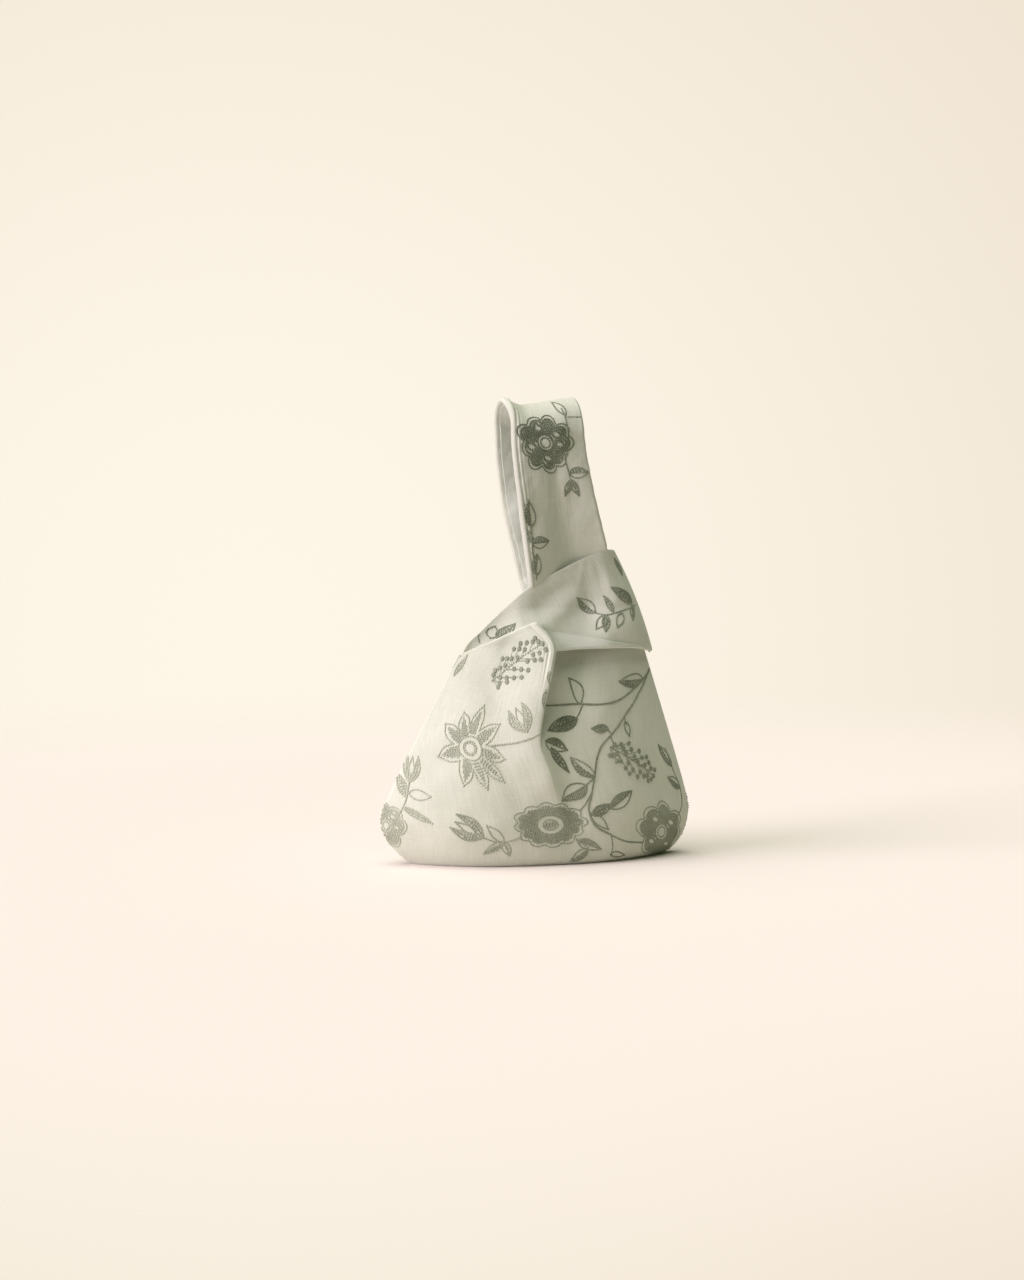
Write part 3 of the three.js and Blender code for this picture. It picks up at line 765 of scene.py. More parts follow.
# The hems' roll, thinner at the root, and the margin behind it.
ROOT_ROLL, LOOP_ROLL, ROOT_COLUMNS, ROLL_COLUMNS, LOOP_TAIL = 0.8, 1.3, 15, 50, 5
loop_places = 1 - (1 - np.linspace(0, 1, LOOP_COLUMNS)) ** LOOP_GATHER
loop_sheet = there_and_back(loop_run(loop_places, np.linspace(0, 1, LOOP_ROWS)))
loop_flat = sheet_flat(loop_sheet)
loop_column = np.arange(2 * LOOP_COLUMNS - 1)
from_root = np.minimum(loop_column, loop_column[::-1])
loop_roll = mix(ROOT_ROLL, LOOP_ROLL, ease((from_root - ROOT_COLUMNS) / ROLL_COLUMNS))
loop_hems = [hem(loop_sheet, loop_flat, loop_roll, LOOP_TAIL) for hem in (top_hem, bottom_hem)]
short_loop = cloth("short_loop_cloth", [(loop_sheet, loop_flat), *loop_hems], outer_linen)
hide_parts("short_loop_front", "short_loop_back")

LOOP_LINING_INSET, LOOP_INSIDE = 1.9, np.s_[2:-2:2, 2:-2:2]
loop_inner = loop_sheet - normals(loop_sheet) * LOOP_LINING_INSET
loop_inner_patch = (loop_inner[LOOP_INSIDE], loop_flat[LOOP_INSIDE])
short_loop_lining = cloth("short_loop_lining", [loop_inner_patch], lining_cotton, LINING_THICKNESS)
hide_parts("short_loop_lining_front", "short_loop_lining_back")

CUFF_START, CUFF_END = 0.36, 0.94
# The cuff's height: blunt at its start, tapering to a least height at its end.
CUFF_HEIGHT, CUFF_TAPER, CUFF_BLUNT, BLUNT_RUN, CUFF_LEAST = 21, 1.8, 0.5, 0.1, 1.2
# How far it stands off the band, and the roll of its foot: along most of it, and at its end.
CUFF_FRONT, CUFF_SUNK, CUFF_ROLL, CUFF_END_ROLL, SINK_START = 1.9, 0.2, 1.5, 0.5, 0.6
CUFF_TOP_ROLL, CUFF_TOP_TAIL, CUFF_FOOT_TAIL = 0.6, 2, 1.5
CUFF_COLUMNS, CUFF_ROWS, BAND_ROWS, BAND_SHARE = 70, 16, 60, 0.5
CUFF_CUT = (0.106, 0.029)
CUFF_AREA = 0.00152


def along_cuff(first, last, run):
    """A value that is the first one along most of the cuff and goes to the last one at its end."""
    return mix(first, last, ease((run - SINK_START) / (1 - SINK_START)))


def cuff_sheet(run):
    """The turned-up margin: widest beside the flap, and sunk into the band's edge near the turn."""
    blunt = mix(CUFF_BLUNT, 1, ease(run / BLUNT_RUN))
    height = CUFF_HEIGHT * (1 - run) ** CUFF_TAPER * blunt + CUFF_LEAST
    band = loop_run(mix(CUFF_START, CUFF_END, run), np.linspace(0, BAND_SHARE, BAND_ROWS))
    rises = lengths(band, 0)
    front = band + normals(band) * along_cuff(CUFF_FRONT, CUFF_SUNK, run)[None, :, None]
    columns = []
    for k in range(len(run)):
        rise = height[k] * np.linspace(0, 1, CUFF_ROWS)
        column = [np.interp(rise, rises[:, k], front[:, k, axis]) for axis in range(3)]
        columns.append(np.stack(column, axis=-1))
    return np.stack(columns, axis=1)


cuff_run = np.linspace(0, 1, CUFF_COLUMNS)
cuff_points = cuff_sheet(cuff_run)
cuff_flat = sheet_flat(cuff_points)
cuff_roll = along_cuff(CUFF_ROLL, CUFF_END_ROLL, cuff_run)[::-1]
cuff_patches = [
    (cuff_points, cuff_flat),
    top_hem(cuff_points, cuff_flat, CUFF_TOP_ROLL, CUFF_TOP_TAIL),
    bottom_hem(cuff_points, cuff_flat, cuff_roll, CUFF_FOOT_TAIL),
]
front_cuff = cloth("front_cuff", cuff_patches, lining_cotton, LINING_THICKNESS)
back_cuff = cloth("back_cuff", cuff_patches, lining_cotton, LINING_THICKNESS, mirrored=True)
for piece, cut, area, slot in (
    (short_loop, LOOP_CUT, LOOP_AREA, "outer_cloth"),
    (short_loop_lining, LOOP_LINING_CUT, LOOP_LINING_AREA, "lining"),
    (front_cuff, CUFF_CUT, CUFF_AREA, "lining"),
    (back_cuff, CUFF_CUT, CUFF_AREA, "lining"),
):
    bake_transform(piece)

# The long strap: it leaves the bag inside the knot and rises as the hand loop, two legs joined by a soft
# arch. The linen is turned in along both edges and lined with the same pale cotton.
STRAP_FOOT, ARCH_HEIGHT, ARCH_RADIUS, STEM_FACE = 220.68, 323, 24, 7.5
STRAP_START = 186
strap_left = through((186, -4), (207, -7.8), (240, -14.2), (277, -20.5), (305, -24), (347, -25.5))
strap_right = through(
    (186, 59), (225, 53), (241, 47.5), (264, 40.2), (291, 33.3), (318, 28.5), (347, 26.6))
# Across the strap from its left edge: how far it dishes above the knot, and how far the arch sags.
strap_dish = through((0, 3.6), (0.25, 1.2), (0.58, -3.6), (0.8, -0.2), (1, 3.0))
arch_sag = through((0, -0.6), (0.08, -2.4), (0.2, -5.2), (0.4, -4.8), (0.7, -2.4), (1, -0.2))
DISH_TOP, DISH_FADE, SAG_START, SAG_RUN = 255, 55, 300, 45
# The front leg's left edge turns away from the viewer.
EDGE_TURN, EDGE_WIDTH = 3.4, 5.4
# Folds and dish start this far below the band's edge, and the arch keeps only a part of them.
KNOT_COVER, KNOT_FADE, ARCH_CALM, CALM_START, CALM_RUN = 7, 12, 0.6, 325, 15
STRAP_COLUMNS, LEG_ROWS, ARCH_ROWS = 60, 84, 30
EDGE_COLUMNS, EDGE_SHARE = 14, 0.14
STRAP_HEM, STRAP_TAIL, STRAP_LINING_GAP = 2.0, 5, 0.3
STRAP_INSIDE = np.s_[6:-6, 3:-3]
STRAP_CUT = (0.0895, 0.362)
STRAP_AREA = 0.0282
STRAP_LINING_CUT = (0.063, 0.340)
STRAP_LINING_AREA = 0.0176
STRAP_FOLDS = (
    (-4, 296, 2, 268, 6, 0.9), (24, 306, 34, 276, 7, 1.0), (0, 330, 20, 300, 8, 0.9),
    (2, 290, 4, 262, 2.2, 0.45), (9, 294, 12, 258, 2.6, -0.5), (16, 288, 20, 256, 2.4, 0.45),
)
STRAP_WAVES, STRAP_SEED = ((30, 0.45), (11, 0.14)), 8
# How the two legs part on the way from the band's edge up to the arch.
leg_opening = through((0, 0), (0.15, 0.24), (0.4, 0.52), (0.75, 0.89), (1, 1))


def above_loop(x, z):
    """How far a place on the strap lies above the short loop's upper edge."""
    return z - np.interp(x, *np.array(LOOP_TOP, float).T)


def leg_depth(x, z):
    """How far a leg stands from the middle: flat inside the knot, then the two legs open like a drop."""
    up = above_loop(x, z)
    return mix(STEM_FACE, ARCH_RADIUS, leg_opening(up / (up + ARCH_HEIGHT - z)))


def strap_shares():
    """Column places across the strap, closer together at both edges."""
    near = np.linspace(0, EDGE_SHARE, EDGE_COLUMNS)
    middle = np.linspace(EDGE_SHARE, 1 - EDGE_SHARE, STRAP_COLUMNS - 2 * EDGE_COLUMNS + 2)[1:-1]
    far = np.linspace(1 - EDGE_SHARE, 1, EDGE_COLUMNS)
    return np.concatenate([near, middle, far])


def strap_drape(x, z, share, width, front):
    """How far the strap's cloth stands off its plain form."""
    lift = drape(x, z, STRAP_FOLDS, STRAP_WAVES, STRAP_SEED)
    lift = lift + strap_dish(share) * (1 - ease((z - DISH_TOP) / DISH_FADE))
    calm = 1 - ARCH_CALM * ease((z - CALM_START) / CALM_RUN)
    lift = lift * ease((above_loop(x, z) + KNOT_COVER) / KNOT_FADE) * calm
    at_edge = np.clip(1 - share * width / EDGE_WIDTH, 0, 1)
    return lift - EDGE_TURN * (1 - front) / 2 * at_edge**2


def strap_sheet():
    """The strap's face from inside the knot up the front leg, over the arch and down the back leg."""
    share = strap_shares()
    leg = np.linspace(STRAP_START, ARCH_HEIGHT, LEG_ROWS)
    turn = np.linspace(0, math.pi, ARCH_ROWS)[1:-1]
    height = np.concatenate([leg, ARCH_HEIGHT + ARCH_RADIUS * np.sin(turn), leg[::-1]])[:, None]
    front = np.concatenate([-np.ones_like(leg), -np.cos(turn), np.ones_like(leg)])[:, None]
    x = mix(strap_left(height), strap_right(height), share)
    z = np.repeat(height, len(share), axis=1)
    side = front * leg_depth(x, np.minimum(z, ARCH_HEIGHT))
    lift = strap_drape(x, z, share, strap_right(height) - strap_left(height), front)
    sag = arch_sag(share) * ease((z - SAG_START) / SAG_RUN)
    return np.stack([x, side + front * lift, z + sag], axis=-1)


strap_points = strap_sheet()
strap_flat = sheet_flat(strap_points)
strap_facing = normals(strap_points)


def strap_hem(column, step):
    """One long edge of the strap, turned in."""
    edge = np.s_[::step, column]
    return turned_edge(strap_points[edge], strap_facing[edge], strap_flat[edge], STRAP_HEM, STRAP_TAIL)


strap_raised = hem_band(strap_points, strap_points[::2, 0])
strap_raised[:, 0] = strap_points[:, 0]
strap_patches = [(strap_raised, strap_flat), strap_hem(0, 1), strap_hem(-1, -1)]
long_strap = cloth("long_strap_cloth", strap_patches, outer_linen)
strap_inner = strap_points - strap_facing * (2 * STRAP_HEM + STRAP_LINING_GAP)
strap_inner_patch = (strap_inner[STRAP_INSIDE], strap_flat[STRAP_INSIDE])
strap_lining = cloth("long_strap_lining", [strap_inner_patch], lining_cotton, LINING_THICKNESS)
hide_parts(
    "handle_front_leg", "handle_back_leg", "long_strap_stem_front", "long_strap_stem_back")
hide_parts("handle_lining_front", "handle_lining_back", "handle_shoulder_seam")
for piece, slot, cut, area in (
    (long_strap, "outer_cloth", STRAP_CUT, STRAP_AREA),
    (strap_lining, "lining", STRAP_LINING_CUT, STRAP_LINING_AREA),
):
    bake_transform(piece)

# The embroidery: a trailing vine in sage green thread, with star flowers, scalloped rosettes, leaves, buds
# and berry sprays, worked in short slanting stitches through the outer cloth before it was sewn up.
# Motifs are drawn flat, in mm on the cloth, and Geometry Nodes lay the stitches along the drawn lines.
STITCH_LENGTH, STITCH_WIDTH, STITCH_HEIGHT, STITCH_SINK = 2.6, 1.45, 0.55, 0.12
STITCH_PITCH, STITCH_LEAN, STITCH_UNEVEN, STITCH_SIDES = 1.9, 0.3, 0.14, 6
LEAN_SPREAD = (0.5, 1.5)
# The stitch's shoulder: its shares of the stitch's size and of its height.
SHOULDER_SIZE, SHOULDER_HEIGHT = 0.74, 0.72
FILL_SPACING, FILL_BOLD = 1.2, 0.85
SHADE, FILL_SHADE = 0.5, 0.6
THREAD_LIGHT, THREAD_DARK = (0.475, 0.50, 0.385), (0.12, 0.142, 0.084)
STRANDS, DYE_CLOUDS, STRAND_HEIGHT, THREAD_BUMP, THREAD_SHEEN = 900.0, 60.0, 0.0003, 0.5, 0.15


def thread_finish():
    """Matt twisted thread: light or dark sage from the stitch's shade value, which also carries painted
    light and painted shade, with fine strands and uneven dye.
    """
    finish = Finish(bpy.data.materials.new("sage_thread"))
    shade = finish.node("ShaderNodeAttribute", {"attribute_name": "shade"}, {}, out=2)
    place = finish.node("ShaderNodeTexCoord", {}, {}, "Object")
    strands, dye = (
        finish.node("ShaderNodeTexNoise", {}, {"Vector": place, "Scale": scale, "Detail": 2.0})
        for scale in (STRANDS, DYE_CLOUDS))
    depth = shade * 0.7 + strands * 0.5 + dye * 0.6 - 0.45
    finish.set(base_color=finish.blend((*THREAD_LIGHT, 1), (*THREAD_DARK, 1), depth))
    sockets = {"Strength": THREAD_BUMP, "Distance": STRAND_HEIGHT, "Height": strands}
    finish.set(roughness=strands * 0.3 + 0.6, normal=finish.node("ShaderNodeBump", {}, sockets))
    finish.set(sheen_weight=THREAD_SHEEN)
    return finish.owner


def stitch_shape():
    """One stitch: a short plump thread, open underneath where it enters the cloth."""
    rings = []
    for size, height in ((1.0, -STITCH_SINK), (SHOULDER_SIZE, STITCH_HEIGHT * SHOULDER_HEIGHT)):
        for turn in np.arange(STITCH_SIDES) * 2 * math.pi / STITCH_SIDES:
            along, aside = math.cos(turn) * size, math.sin(turn) * size
            rings.append((along * STITCH_LENGTH / 2, aside * STITCH_WIDTH / 2, height))
    verts = np.array(rings + [(0, 0, STITCH_HEIGHT)]) * MM
    faces = []
    for k in range(STITCH_SIDES):
        after = (k + 1) % STITCH_SIDES
        faces.append((k, after, after + STITCH_SIDES, k + STITCH_SIDES))
        faces.append((k + STITCH_SIDES, after + STITCH_SIDES, 2 * STITCH_SIDES))
    mesh = bpy.data.meshes.new("stitch")
    mesh.from_pydata(verts.tolist(), [], faces)
    mesh.polygons.foreach_set("use_smooth", [True] * len(faces))
    return new_piece("stitch", mesh)


class StitchTree(Nodes):
    """The nodes that lay stitches along lines drawn flat on a cloth."""

    SOCKETS = (
        ("Drawing", "Geometry"), ("Cloth", "Object"), ("Stitch", "Object"), ("Thread", "Material"),
        ("Pitch", "Float"), ("Lean", "Float"), ("Unevenness", "Float"), ("Seed", "Int"),
    )

    def __init__(self):
        super().__init__(bpy.data.node_groups.new("slanting_stitches", "GeometryNodeTree"))
        for name, kind in self.SOCKETS:
            self.tree.interface.new_socket(name, in_out="INPUT", socket_type=f"NodeSocket{kind}")
        self.tree.interface.new_socket("Stitches", in_out="OUTPUT", socket_type="NodeSocketGeometry")
        inputs = self.tree.nodes.new("NodeGroupInput").outputs
        self.given = {name: Field(self, inputs[name]) for name, _ in self.SOCKETS}
        self.build()

    def named(self, name, kind="FLOAT_VECTOR"):
        return self.node("GeometryNodeInputNamedAttribute", {"data_type": kind}, {"Name": name})

    def kept(self, geometry, name, value):
        settings = {"data_type": "FLOAT_VECTOR", "domain": "POINT"}
        sockets = {"Geometry": geometry, "Name": name, "Value": value}
        return self.node("GeometryNodeStoreNamedAttribute", settings, sockets)

    def shape_of(self, name):
        """The shape of an object that is given to the tree."""
        return self.node("GeometryNodeObjectInfo", {}, {"Object": self.given[name]}, out="Geometry")

    def on_cloth(self, value, place, out=0):
        """A value of the cloth at a flat place."""
        sockets = {"Mesh": self.shape_of("Cloth"), "Value": value}
        sockets |= {"Source UV Map": self.named("cloth"), "Sample UV": place}
        return self.node("GeometryNodeSampleUVSurface", {"data_type": "FLOAT_VECTOR"}, sockets, out)

    def vector(self, operation, first, second):
        return self.node("ShaderNodeVectorMath", {"operation": operation}, {0: first, 1: second})

    def spread(self, low, high, offset):
        """A random number for each stitch."""
        sockets = {2: low, 3: high, 8: self.given["Seed"] + offset}
        return self.node("FunctionNodeRandomValue", {"data_type": "FLOAT"}, sockets, out=1)

    def build(self):
        line = self.node("GeometryNodeMeshToCurve", {}, {"Mesh": self.given["Drawing"]})
        sockets = {"Curve": line, "Length": self.given["Pitch"]}
        spots = self.node("GeometryNodeResampleCurve", {"mode": "LENGTH"}, sockets)
        spots = self.kept(spots, "flat_place", self.node("GeometryNodeInputPosition", {}, {}))
        spots = self.kept(spots, "flat_way", self.node("GeometryNodeInputTangent", {}, {}))
        place, way = self.named("flat_place"), self.named("flat_way")
        position = self.node("GeometryNodeInputPosition", {}, {})
        facing = self.node("GeometryNodeInputNormal", {}, {})
        step = self.node("ShaderNodeVectorMath", {"operation": "SCALE"}, {0: way, "Scale": MM / 2})
        here = self.on_cloth(position, place)
        ahead = self.on_cloth(position, self.vector("ADD", place, step))
        normal = self.on_cloth(facing, place)
        found = self.on_cloth(position, place, out=1)
        missed = self.node("FunctionNodeBooleanMath", {"operation": "NOT"}, {0: found})
        sockets = {"Geometry": spots, "Selection": missed}
        spots = self.node("GeometryNodeDeleteGeometry", {"domain": "POINT"}, sockets)
        turn = self.turned(self.vector("SUBTRACT", ahead, here), normal)
        spots = self.node("GeometryNodeSetPosition", {}, {"Geometry": spots, "Position": here})
        self.finish(spots, turn)

    def turned(self, way, normal):
        """Each stitch lies on the cloth along the line, slanted a little to it."""
        settings = {"primary_axis": "Z", "secondary_axis": "X"}
        sockets = {"Primary Axis": normal, "Secondary Axis": way}
        turn = self.node("FunctionNodeAxesToRotation", settings, sockets)
        lean = self.given["Lean"] * self.spread(*LEAN_SPREAD, 1)
        slant = self.node("FunctionNodeAxisAngleToRotation", {}, {"Axis": (0, 0, 1), "Angle": lean})
        sockets = {"Rotation": turn, "Rotate By": slant}
        return self.node("FunctionNodeRotateRotation", {"rotation_space": "LOCAL"}, sockets)

    def finish(self, spots, turn):
        uneven = self.given["Unevenness"]
        size = self.named("bold", "FLOAT") * self.spread(1 - uneven, 1 + uneven, 2)
        scale = self.node("ShaderNodeCombineXYZ", {}, {"X": 1.0, "Y": size, "Z": size})
        sockets = {"Points": spots, "Instance": self.shape_of("Stitch"), "Rotation": turn, "Scale": scale}
        laid = self.node("GeometryNodeInstanceOnPoints", {}, sockets)
        laid = self.node("GeometryNodeRealizeInstances", {}, {"Geometry": laid})
        sockets = {"Geometry": laid, "Material": self.given["Thread"]}
        laid = self.node("GeometryNodeSetMaterial", {}, sockets)
        self.put(self.tree.nodes.new("NodeGroupOutput").inputs[0], laid)

    def socket(self, name):
        return next(i.identifier for i in self.tree.interface.items_tree if i.name == name)


sage_thread = thread_finish()
stitch = stitch_shape()
stitches = StitchTree()


def drawn_mesh(name, drawing):
    """A drawing of lines (points, bold, shade) as a mesh of edges."""
    verts, edges, bold, shade = [], [], [], []
    for points, thickness, depth in drawing:
        first = len(verts)
        verts += [(x * MM, y * MM, 0) for x, y in points]
        edges += [(k, k + 1) for k in range(first, len(verts) - 1)]
        bold += [thickness] * len(points)
        shade += [depth] * len(points)
    mesh = bpy.data.meshes.new(name)
    mesh.from_pydata(verts, edges, [])
    mesh.attributes.new("bold", "FLOAT", "POINT").data.foreach_set("value", bold)
    mesh.attributes.new("shade", "FLOAT", "POINT").data.foreach_set("value", shade)
    return mesh


def embroider(name, drawing, patches, seed, mirrored=False):
    """Sews a drawing onto a cloth, and returns the stitches as one piece."""
    guide = new_piece("guide", cloth_mesh("guide", patches, mirrored))
    piece = new_piece(name, drawn_mesh(name, drawing))
    sewing = piece.modifiers.new("stitches", "NODES")
    sewing.node_group = stitches.tree
    inputs = {
        "Cloth": guide, "Stitch": stitch, "Thread": sage_thread, "Pitch": STITCH_PITCH * MM,
        "Lean": STITCH_LEAN, "Unevenness": STITCH_UNEVEN, "Seed": seed,
    }
    for key, value in inputs.items():
        sewing[stitches.socket(key)] = value
    settle(piece)
    for extra in ("flat_place", "flat_way", "bold"):
        if extra in piece.data.attributes:
            piece.data.attributes.remove(piece.data.attributes[extra])
    bpy.data.objects.remove(guide)
    return piece


STEM_STEPS, SHORTEST_ROW, ROW_INSET = 14, 0.6, 0.2


def line_through(points, count):
    """A smooth drawn line through a few points."""
    x, y = route(points)
    share = np.linspace(0, 1, count)
    return np.stack([x(share), y(share)], axis=-1)


def stem(*points, bold=1.3):
    return [(line_through(points, STEM_STEPS * len(points)), bold, SHADE)]


def hatch(outlines, angle):
    """Rows of stitches that fill the space inside closed outlines."""
    turn = np.array([[math.cos(angle), math.sin(angle)], [-math.sin(angle), math.cos(angle)]])
    edges = []
    for outline in outlines:
        turned = np.asarray(outline) @ turn.T
        edges.append(np.stack([turned, np.roll(turned, -1, axis=0)], axis=1))
    edges = np.concatenate(edges)
    low, high = edges[:, :, 1].min(), edges[:, :, 1].max()
    rows = []
    for y in np.arange(low + FILL_SPACING / 2, high, FILL_SPACING):
        cut = edges[(edges[:, 0, 1] > y) != (edges[:, 1, 1] > y)]
        t = (y - cut[:, 0, 1]) / (cut[:, 1, 1] - cut[:, 0, 1])
        x = np.sort(mix(cut[:, 0, 0], cut[:, 1, 0], t))
        for start, end in zip(x[::2], x[1::2]):
            if end - start > SHORTEST_ROW:
                ends = np.array([(start + ROW_INSET, y), (end - ROW_INSET, y)])
                rows.append((ends @ turn, FILL_BOLD, FILL_SHADE))
    return rows


def aimed(base, tip):
    """A motif's base, the way from there to its tip, and the direction across that."""
    base = np.array(base, float)
    axis = np.array(tip, float) - base
    return base, axis, np.array([-axis[1], axis[0]]) / np.linalg.norm(axis)


# A leaf's steps, where it is widest and how blunt it is; then its middle vein and its rows' slant.
LEAF_STEPS, LEAF_BELLY, LEAF_BLUNT = 22, 0.8, 0.85
VEIN_PART, VEIN_BOLD, LEAF_SLANT = np.s_[2:-3], 0.9, 0.5


def leaf_lines(base, tip, width, lean):
    """A pointed leaf's two sides and its middle, each from base to tip; lean curves it to one side."""
    base, axis, aside = aimed(base, tip)
    u = np.linspace(0, 1, LEAF_STEPS)[:, None]
    middle = base + axis * u + aside * lean * np.sin(math.pi * u)
    half = width / 2 * np.sin(math.pi * u**LEAF_BELLY) ** LEAF_BLUNT
    return middle + aside * half, middle - aside * half, middle


def worked_leaf(base, tip, width, fill, lean=0.0):
    """A leaf: an open outline, or filled on one half or on both."""
    one, other, middle = leaf_lines(base, tip, width, lean)
    axis = aimed(base, tip)[1]
    angle = math.atan2(axis[1], axis[0])
    drawing = [(one, 1.0, SHADE), (other, 1.0, SHADE)]
    if fill != "open":
        drawing.append((middle[VEIN_PART], VEIN_BOLD, SHADE))
        drawing += hatch([np.concatenate([one, middle[::-1]])], angle + LEAF_SLANT)
    if fill == "full":
        drawing += hatch([np.concatenate([other, middle[::-1]])], angle - LEAF_SLANT)
    return drawing


# A bud's petals: the middle one's length, and the width, spread and curve of them in shares of its width.
BUD_LENGTH, BUD_MIDDLE, BUD_SIDE, BUD_SPREAD, BUD_CURVE = 0.94, 0.42, 0.46, 0.42, 0.2


def tulip(base, tip, width):
    """A bud of three pointed petals: an open one between two filled ones."""
    base, axis, aside = aimed(base, tip)
    drawing = worked_leaf(base, base + axis * BUD_LENGTH, width * BUD_MIDDLE, "open")
    for side in (-1, 1):
        end = base + axis + aside * side * width * BUD_SPREAD
        drawing += worked_leaf(base, end, width * BUD_SIDE, "full", lean=side * width * BUD_CURVE)
    return drawing


def ray(angle):
    return np.array([math.cos(angle), math.sin(angle)])


def oval(centre, reach, count=30):
    turn = np.linspace(0, 2 * math.pi, count + 1)
    return np.stack([centre[0] + reach[0] * np.cos(turn), centre[1] + reach[1] * np.sin(turn)], axis=-1)


def ring(centre, reach, bold=1.0, count=30):
    return [(oval(centre, reach, count), bold, SHADE)]


STAR_TIPS = (-172, -120, -81, -50, -17, 32, 78, 110, 140)
STAR_NOTCH, STAR_BOW, PETAL_STEPS, STAR_UNEVEN, STAR_STEP = 0.5, 0.075, 16, 0.05, 2.3
STAR_EYE, STAR_EYE_SQUEEZE, STAR_RINGS = 0.29, 0.93, (1.0, 0.58, 0.45)
# A petal's filled heart: its half width at each share of the way out.
STAR_HEART = ((0.36, 0.56), (0.42, 0.66), (0.54, 0.6), (0.7, 0.36), (0.88, 0.0))


def star_petal(centre, radius, reach, angle, notches):
    """A pointed petal: two bowed sides and a filled heart."""
    way = ray(angle)
    aside = np.array([-way[1], way[0]])
    left, right = (centre + STAR_NOTCH * radius * ray(notch) for notch in notches)
    tip = centre + reach * way
    bow = aside * radius * STAR_BOW
    room = np.linalg.norm(left - right) / 2
    sides = [[centre + way * reach * out + aside * room * wide * side for out, wide in STAR_HEART]
             for side in (1, -1)]
    outline = [
        (line_through([left, mix(left, tip, 0.5) + bow, tip], PETAL_STEPS), 1.0, SHADE),
        (line_through([tip, mix(right, tip, 0.5) - bow, right], PETAL_STEPS), 1.0, SHADE),
    ]
    return outline + hatch([np.array(sides[0] + sides[1][::-1])], angle)


def star_flower(centre, radius, turn, squeeze):
    """Pointed uneven petals about an open ringed eye."""
    centre = np.array(centre, float)
    tips = np.radians(STAR_TIPS) + turn
    notches = tips + (np.roll(tips, -1) - tips) % (2 * math.pi) / 2
    drawing = []
    for k, angle in enumerate(tips):
        reach = radius * (1 + STAR_UNEVEN * math.sin(STAR_STEP * k + 1))
        drawing += star_petal(centre, radius, reach, angle, (notches[k], notches[k - 1]))
    drawing = [(centre + (points - centre) * (squeeze, 1), bold, depth) for points, bold, depth in drawing]
    eye = radius * STAR_EYE
    for share in STAR_RINGS:
        drawing += ring(centre, (eye * share * STAR_EYE_SQUEEZE, eye * share), count=24)
    return drawing


SCALLOP_STEPS, SCALLOP_BLUNT = 96, 0.7


def scallops(centre, reach, lobes, depth, turn, uneven):
    """A closed line of round lobes, with notches of this depth between them."""
    angle = np.linspace(0, 2 * math.pi, SCALLOP_STEPS + 1)
    swell = 1 - depth + depth * np.abs(np.sin((angle - turn) * lobes / 2)) ** SCALLOP_BLUNT
    swell = swell * (1 + uneven * (np.sin(3 * angle + turn) + np.sin(5 * angle + 2 * turn)))
    x, y = centre[0] + reach[0] * swell * np.cos(angle), centre[1] + reach[1] * swell * np.sin(angle)
    return np.stack([x, y], axis=-1)


# An oval flower: its notches, and its body, eye, inner ring and dot in shares of its size.
OVAL_NOTCH, OVAL_BODY_NOTCH, OVAL_TURN, OVAL_UNEVEN = 0.17, 0.15, 0.3, 0.025
OVAL_BODY, OVAL_EYE, OVAL_RING, OVAL_DOT = (0.87, 0.85), (0.37, 0.42), (0.2, 0.22), (0.14, 0.14)
OVAL_BOLD, OVAL_EYE_BOLD, OVAL_SLANT, DOT_SLANT = 0.85, 0.9, 0.12, 0.1


def oval_flower(centre, reach_x, reach_y, lobes):
    """A scalloped oval: a fine outer line, a filled body, and an open eye of two rings."""
    reach = np.array((reach_x, reach_y))
    outer = scallops(centre, reach, lobes, OVAL_NOTCH, OVAL_TURN, OVAL_UNEVEN)
    body = scallops(centre, reach * OVAL_BODY, lobes, OVAL_BODY_NOTCH, OVAL_TURN, OVAL_UNEVEN)
    drawing = [(outer, OVAL_BOLD, SHADE)]
    drawing += hatch([body[:-1], oval(centre, reach * OVAL_EYE)[:-1]], OVAL_SLANT)
    drawing += ring(centre, reach * OVAL_EYE, OVAL_EYE_BOLD)
    drawing += ring(centre, reach * OVAL_RING, count=18)
    return drawing + hatch([oval(centre, reach * OVAL_DOT, 12)[:-1]], DOT_SLANT)


# A rosette: its notches, and its body, spots and eye rings in shares of its size.
ROSETTE_NOTCH, ROSETTE_BODY, ROSETTE_EYE, ROSETTE_RING = 0.24, 0.86, 0.27, 0.17
SPOT_PLACE, SPOT_SIZE = 0.52, (0.13, 0.1)
ROSETTE_BOLD, ROSETTE_SLANT = 0.9, 0.6


def rosette(centre, reach_x, reach_y, lobes, turn, uneven=0.05):
    """A round flower of broad lobes: two scalloped lines, a filled body with pale spots, a ring eye."""
    reach = np.array((reach_x, reach_y))
    outer = scallops(centre, reach, lobes, ROSETTE_NOTCH, turn, uneven)
    body = scallops(centre, reach * ROSETTE_BODY, lobes, ROSETTE_NOTCH, turn, uneven)
    spots = []
    for k in range(0, lobes, 2):
        middle = centre + reach * SPOT_PLACE * ray(turn + (2 * k + 1) * math.pi / lobes)
        spots.append(oval(middle, reach * SPOT_SIZE, 12)[:-1])
    drawing = [(outer, ROSETTE_BOLD, SHADE), (body, ROSETTE_BOLD, SHADE)]
    drawing += hatch([body[:-1], oval(centre, reach * ROSETTE_EYE)[:-1]] + spots, turn + ROSETTE_SLANT)
    drawing += ring(centre, reach * ROSETTE_EYE, ROSETTE_BOLD)
    return drawing + ring(centre, reach * ROSETTE_RING, count=16)


# A berry's rows: how far each lies from its middle, and half its length.
BERRY_ROWS, BERRY_BOLD = ((-1.2, 0.3), (0, 0.7), (1.2, 0.3)), 1.3


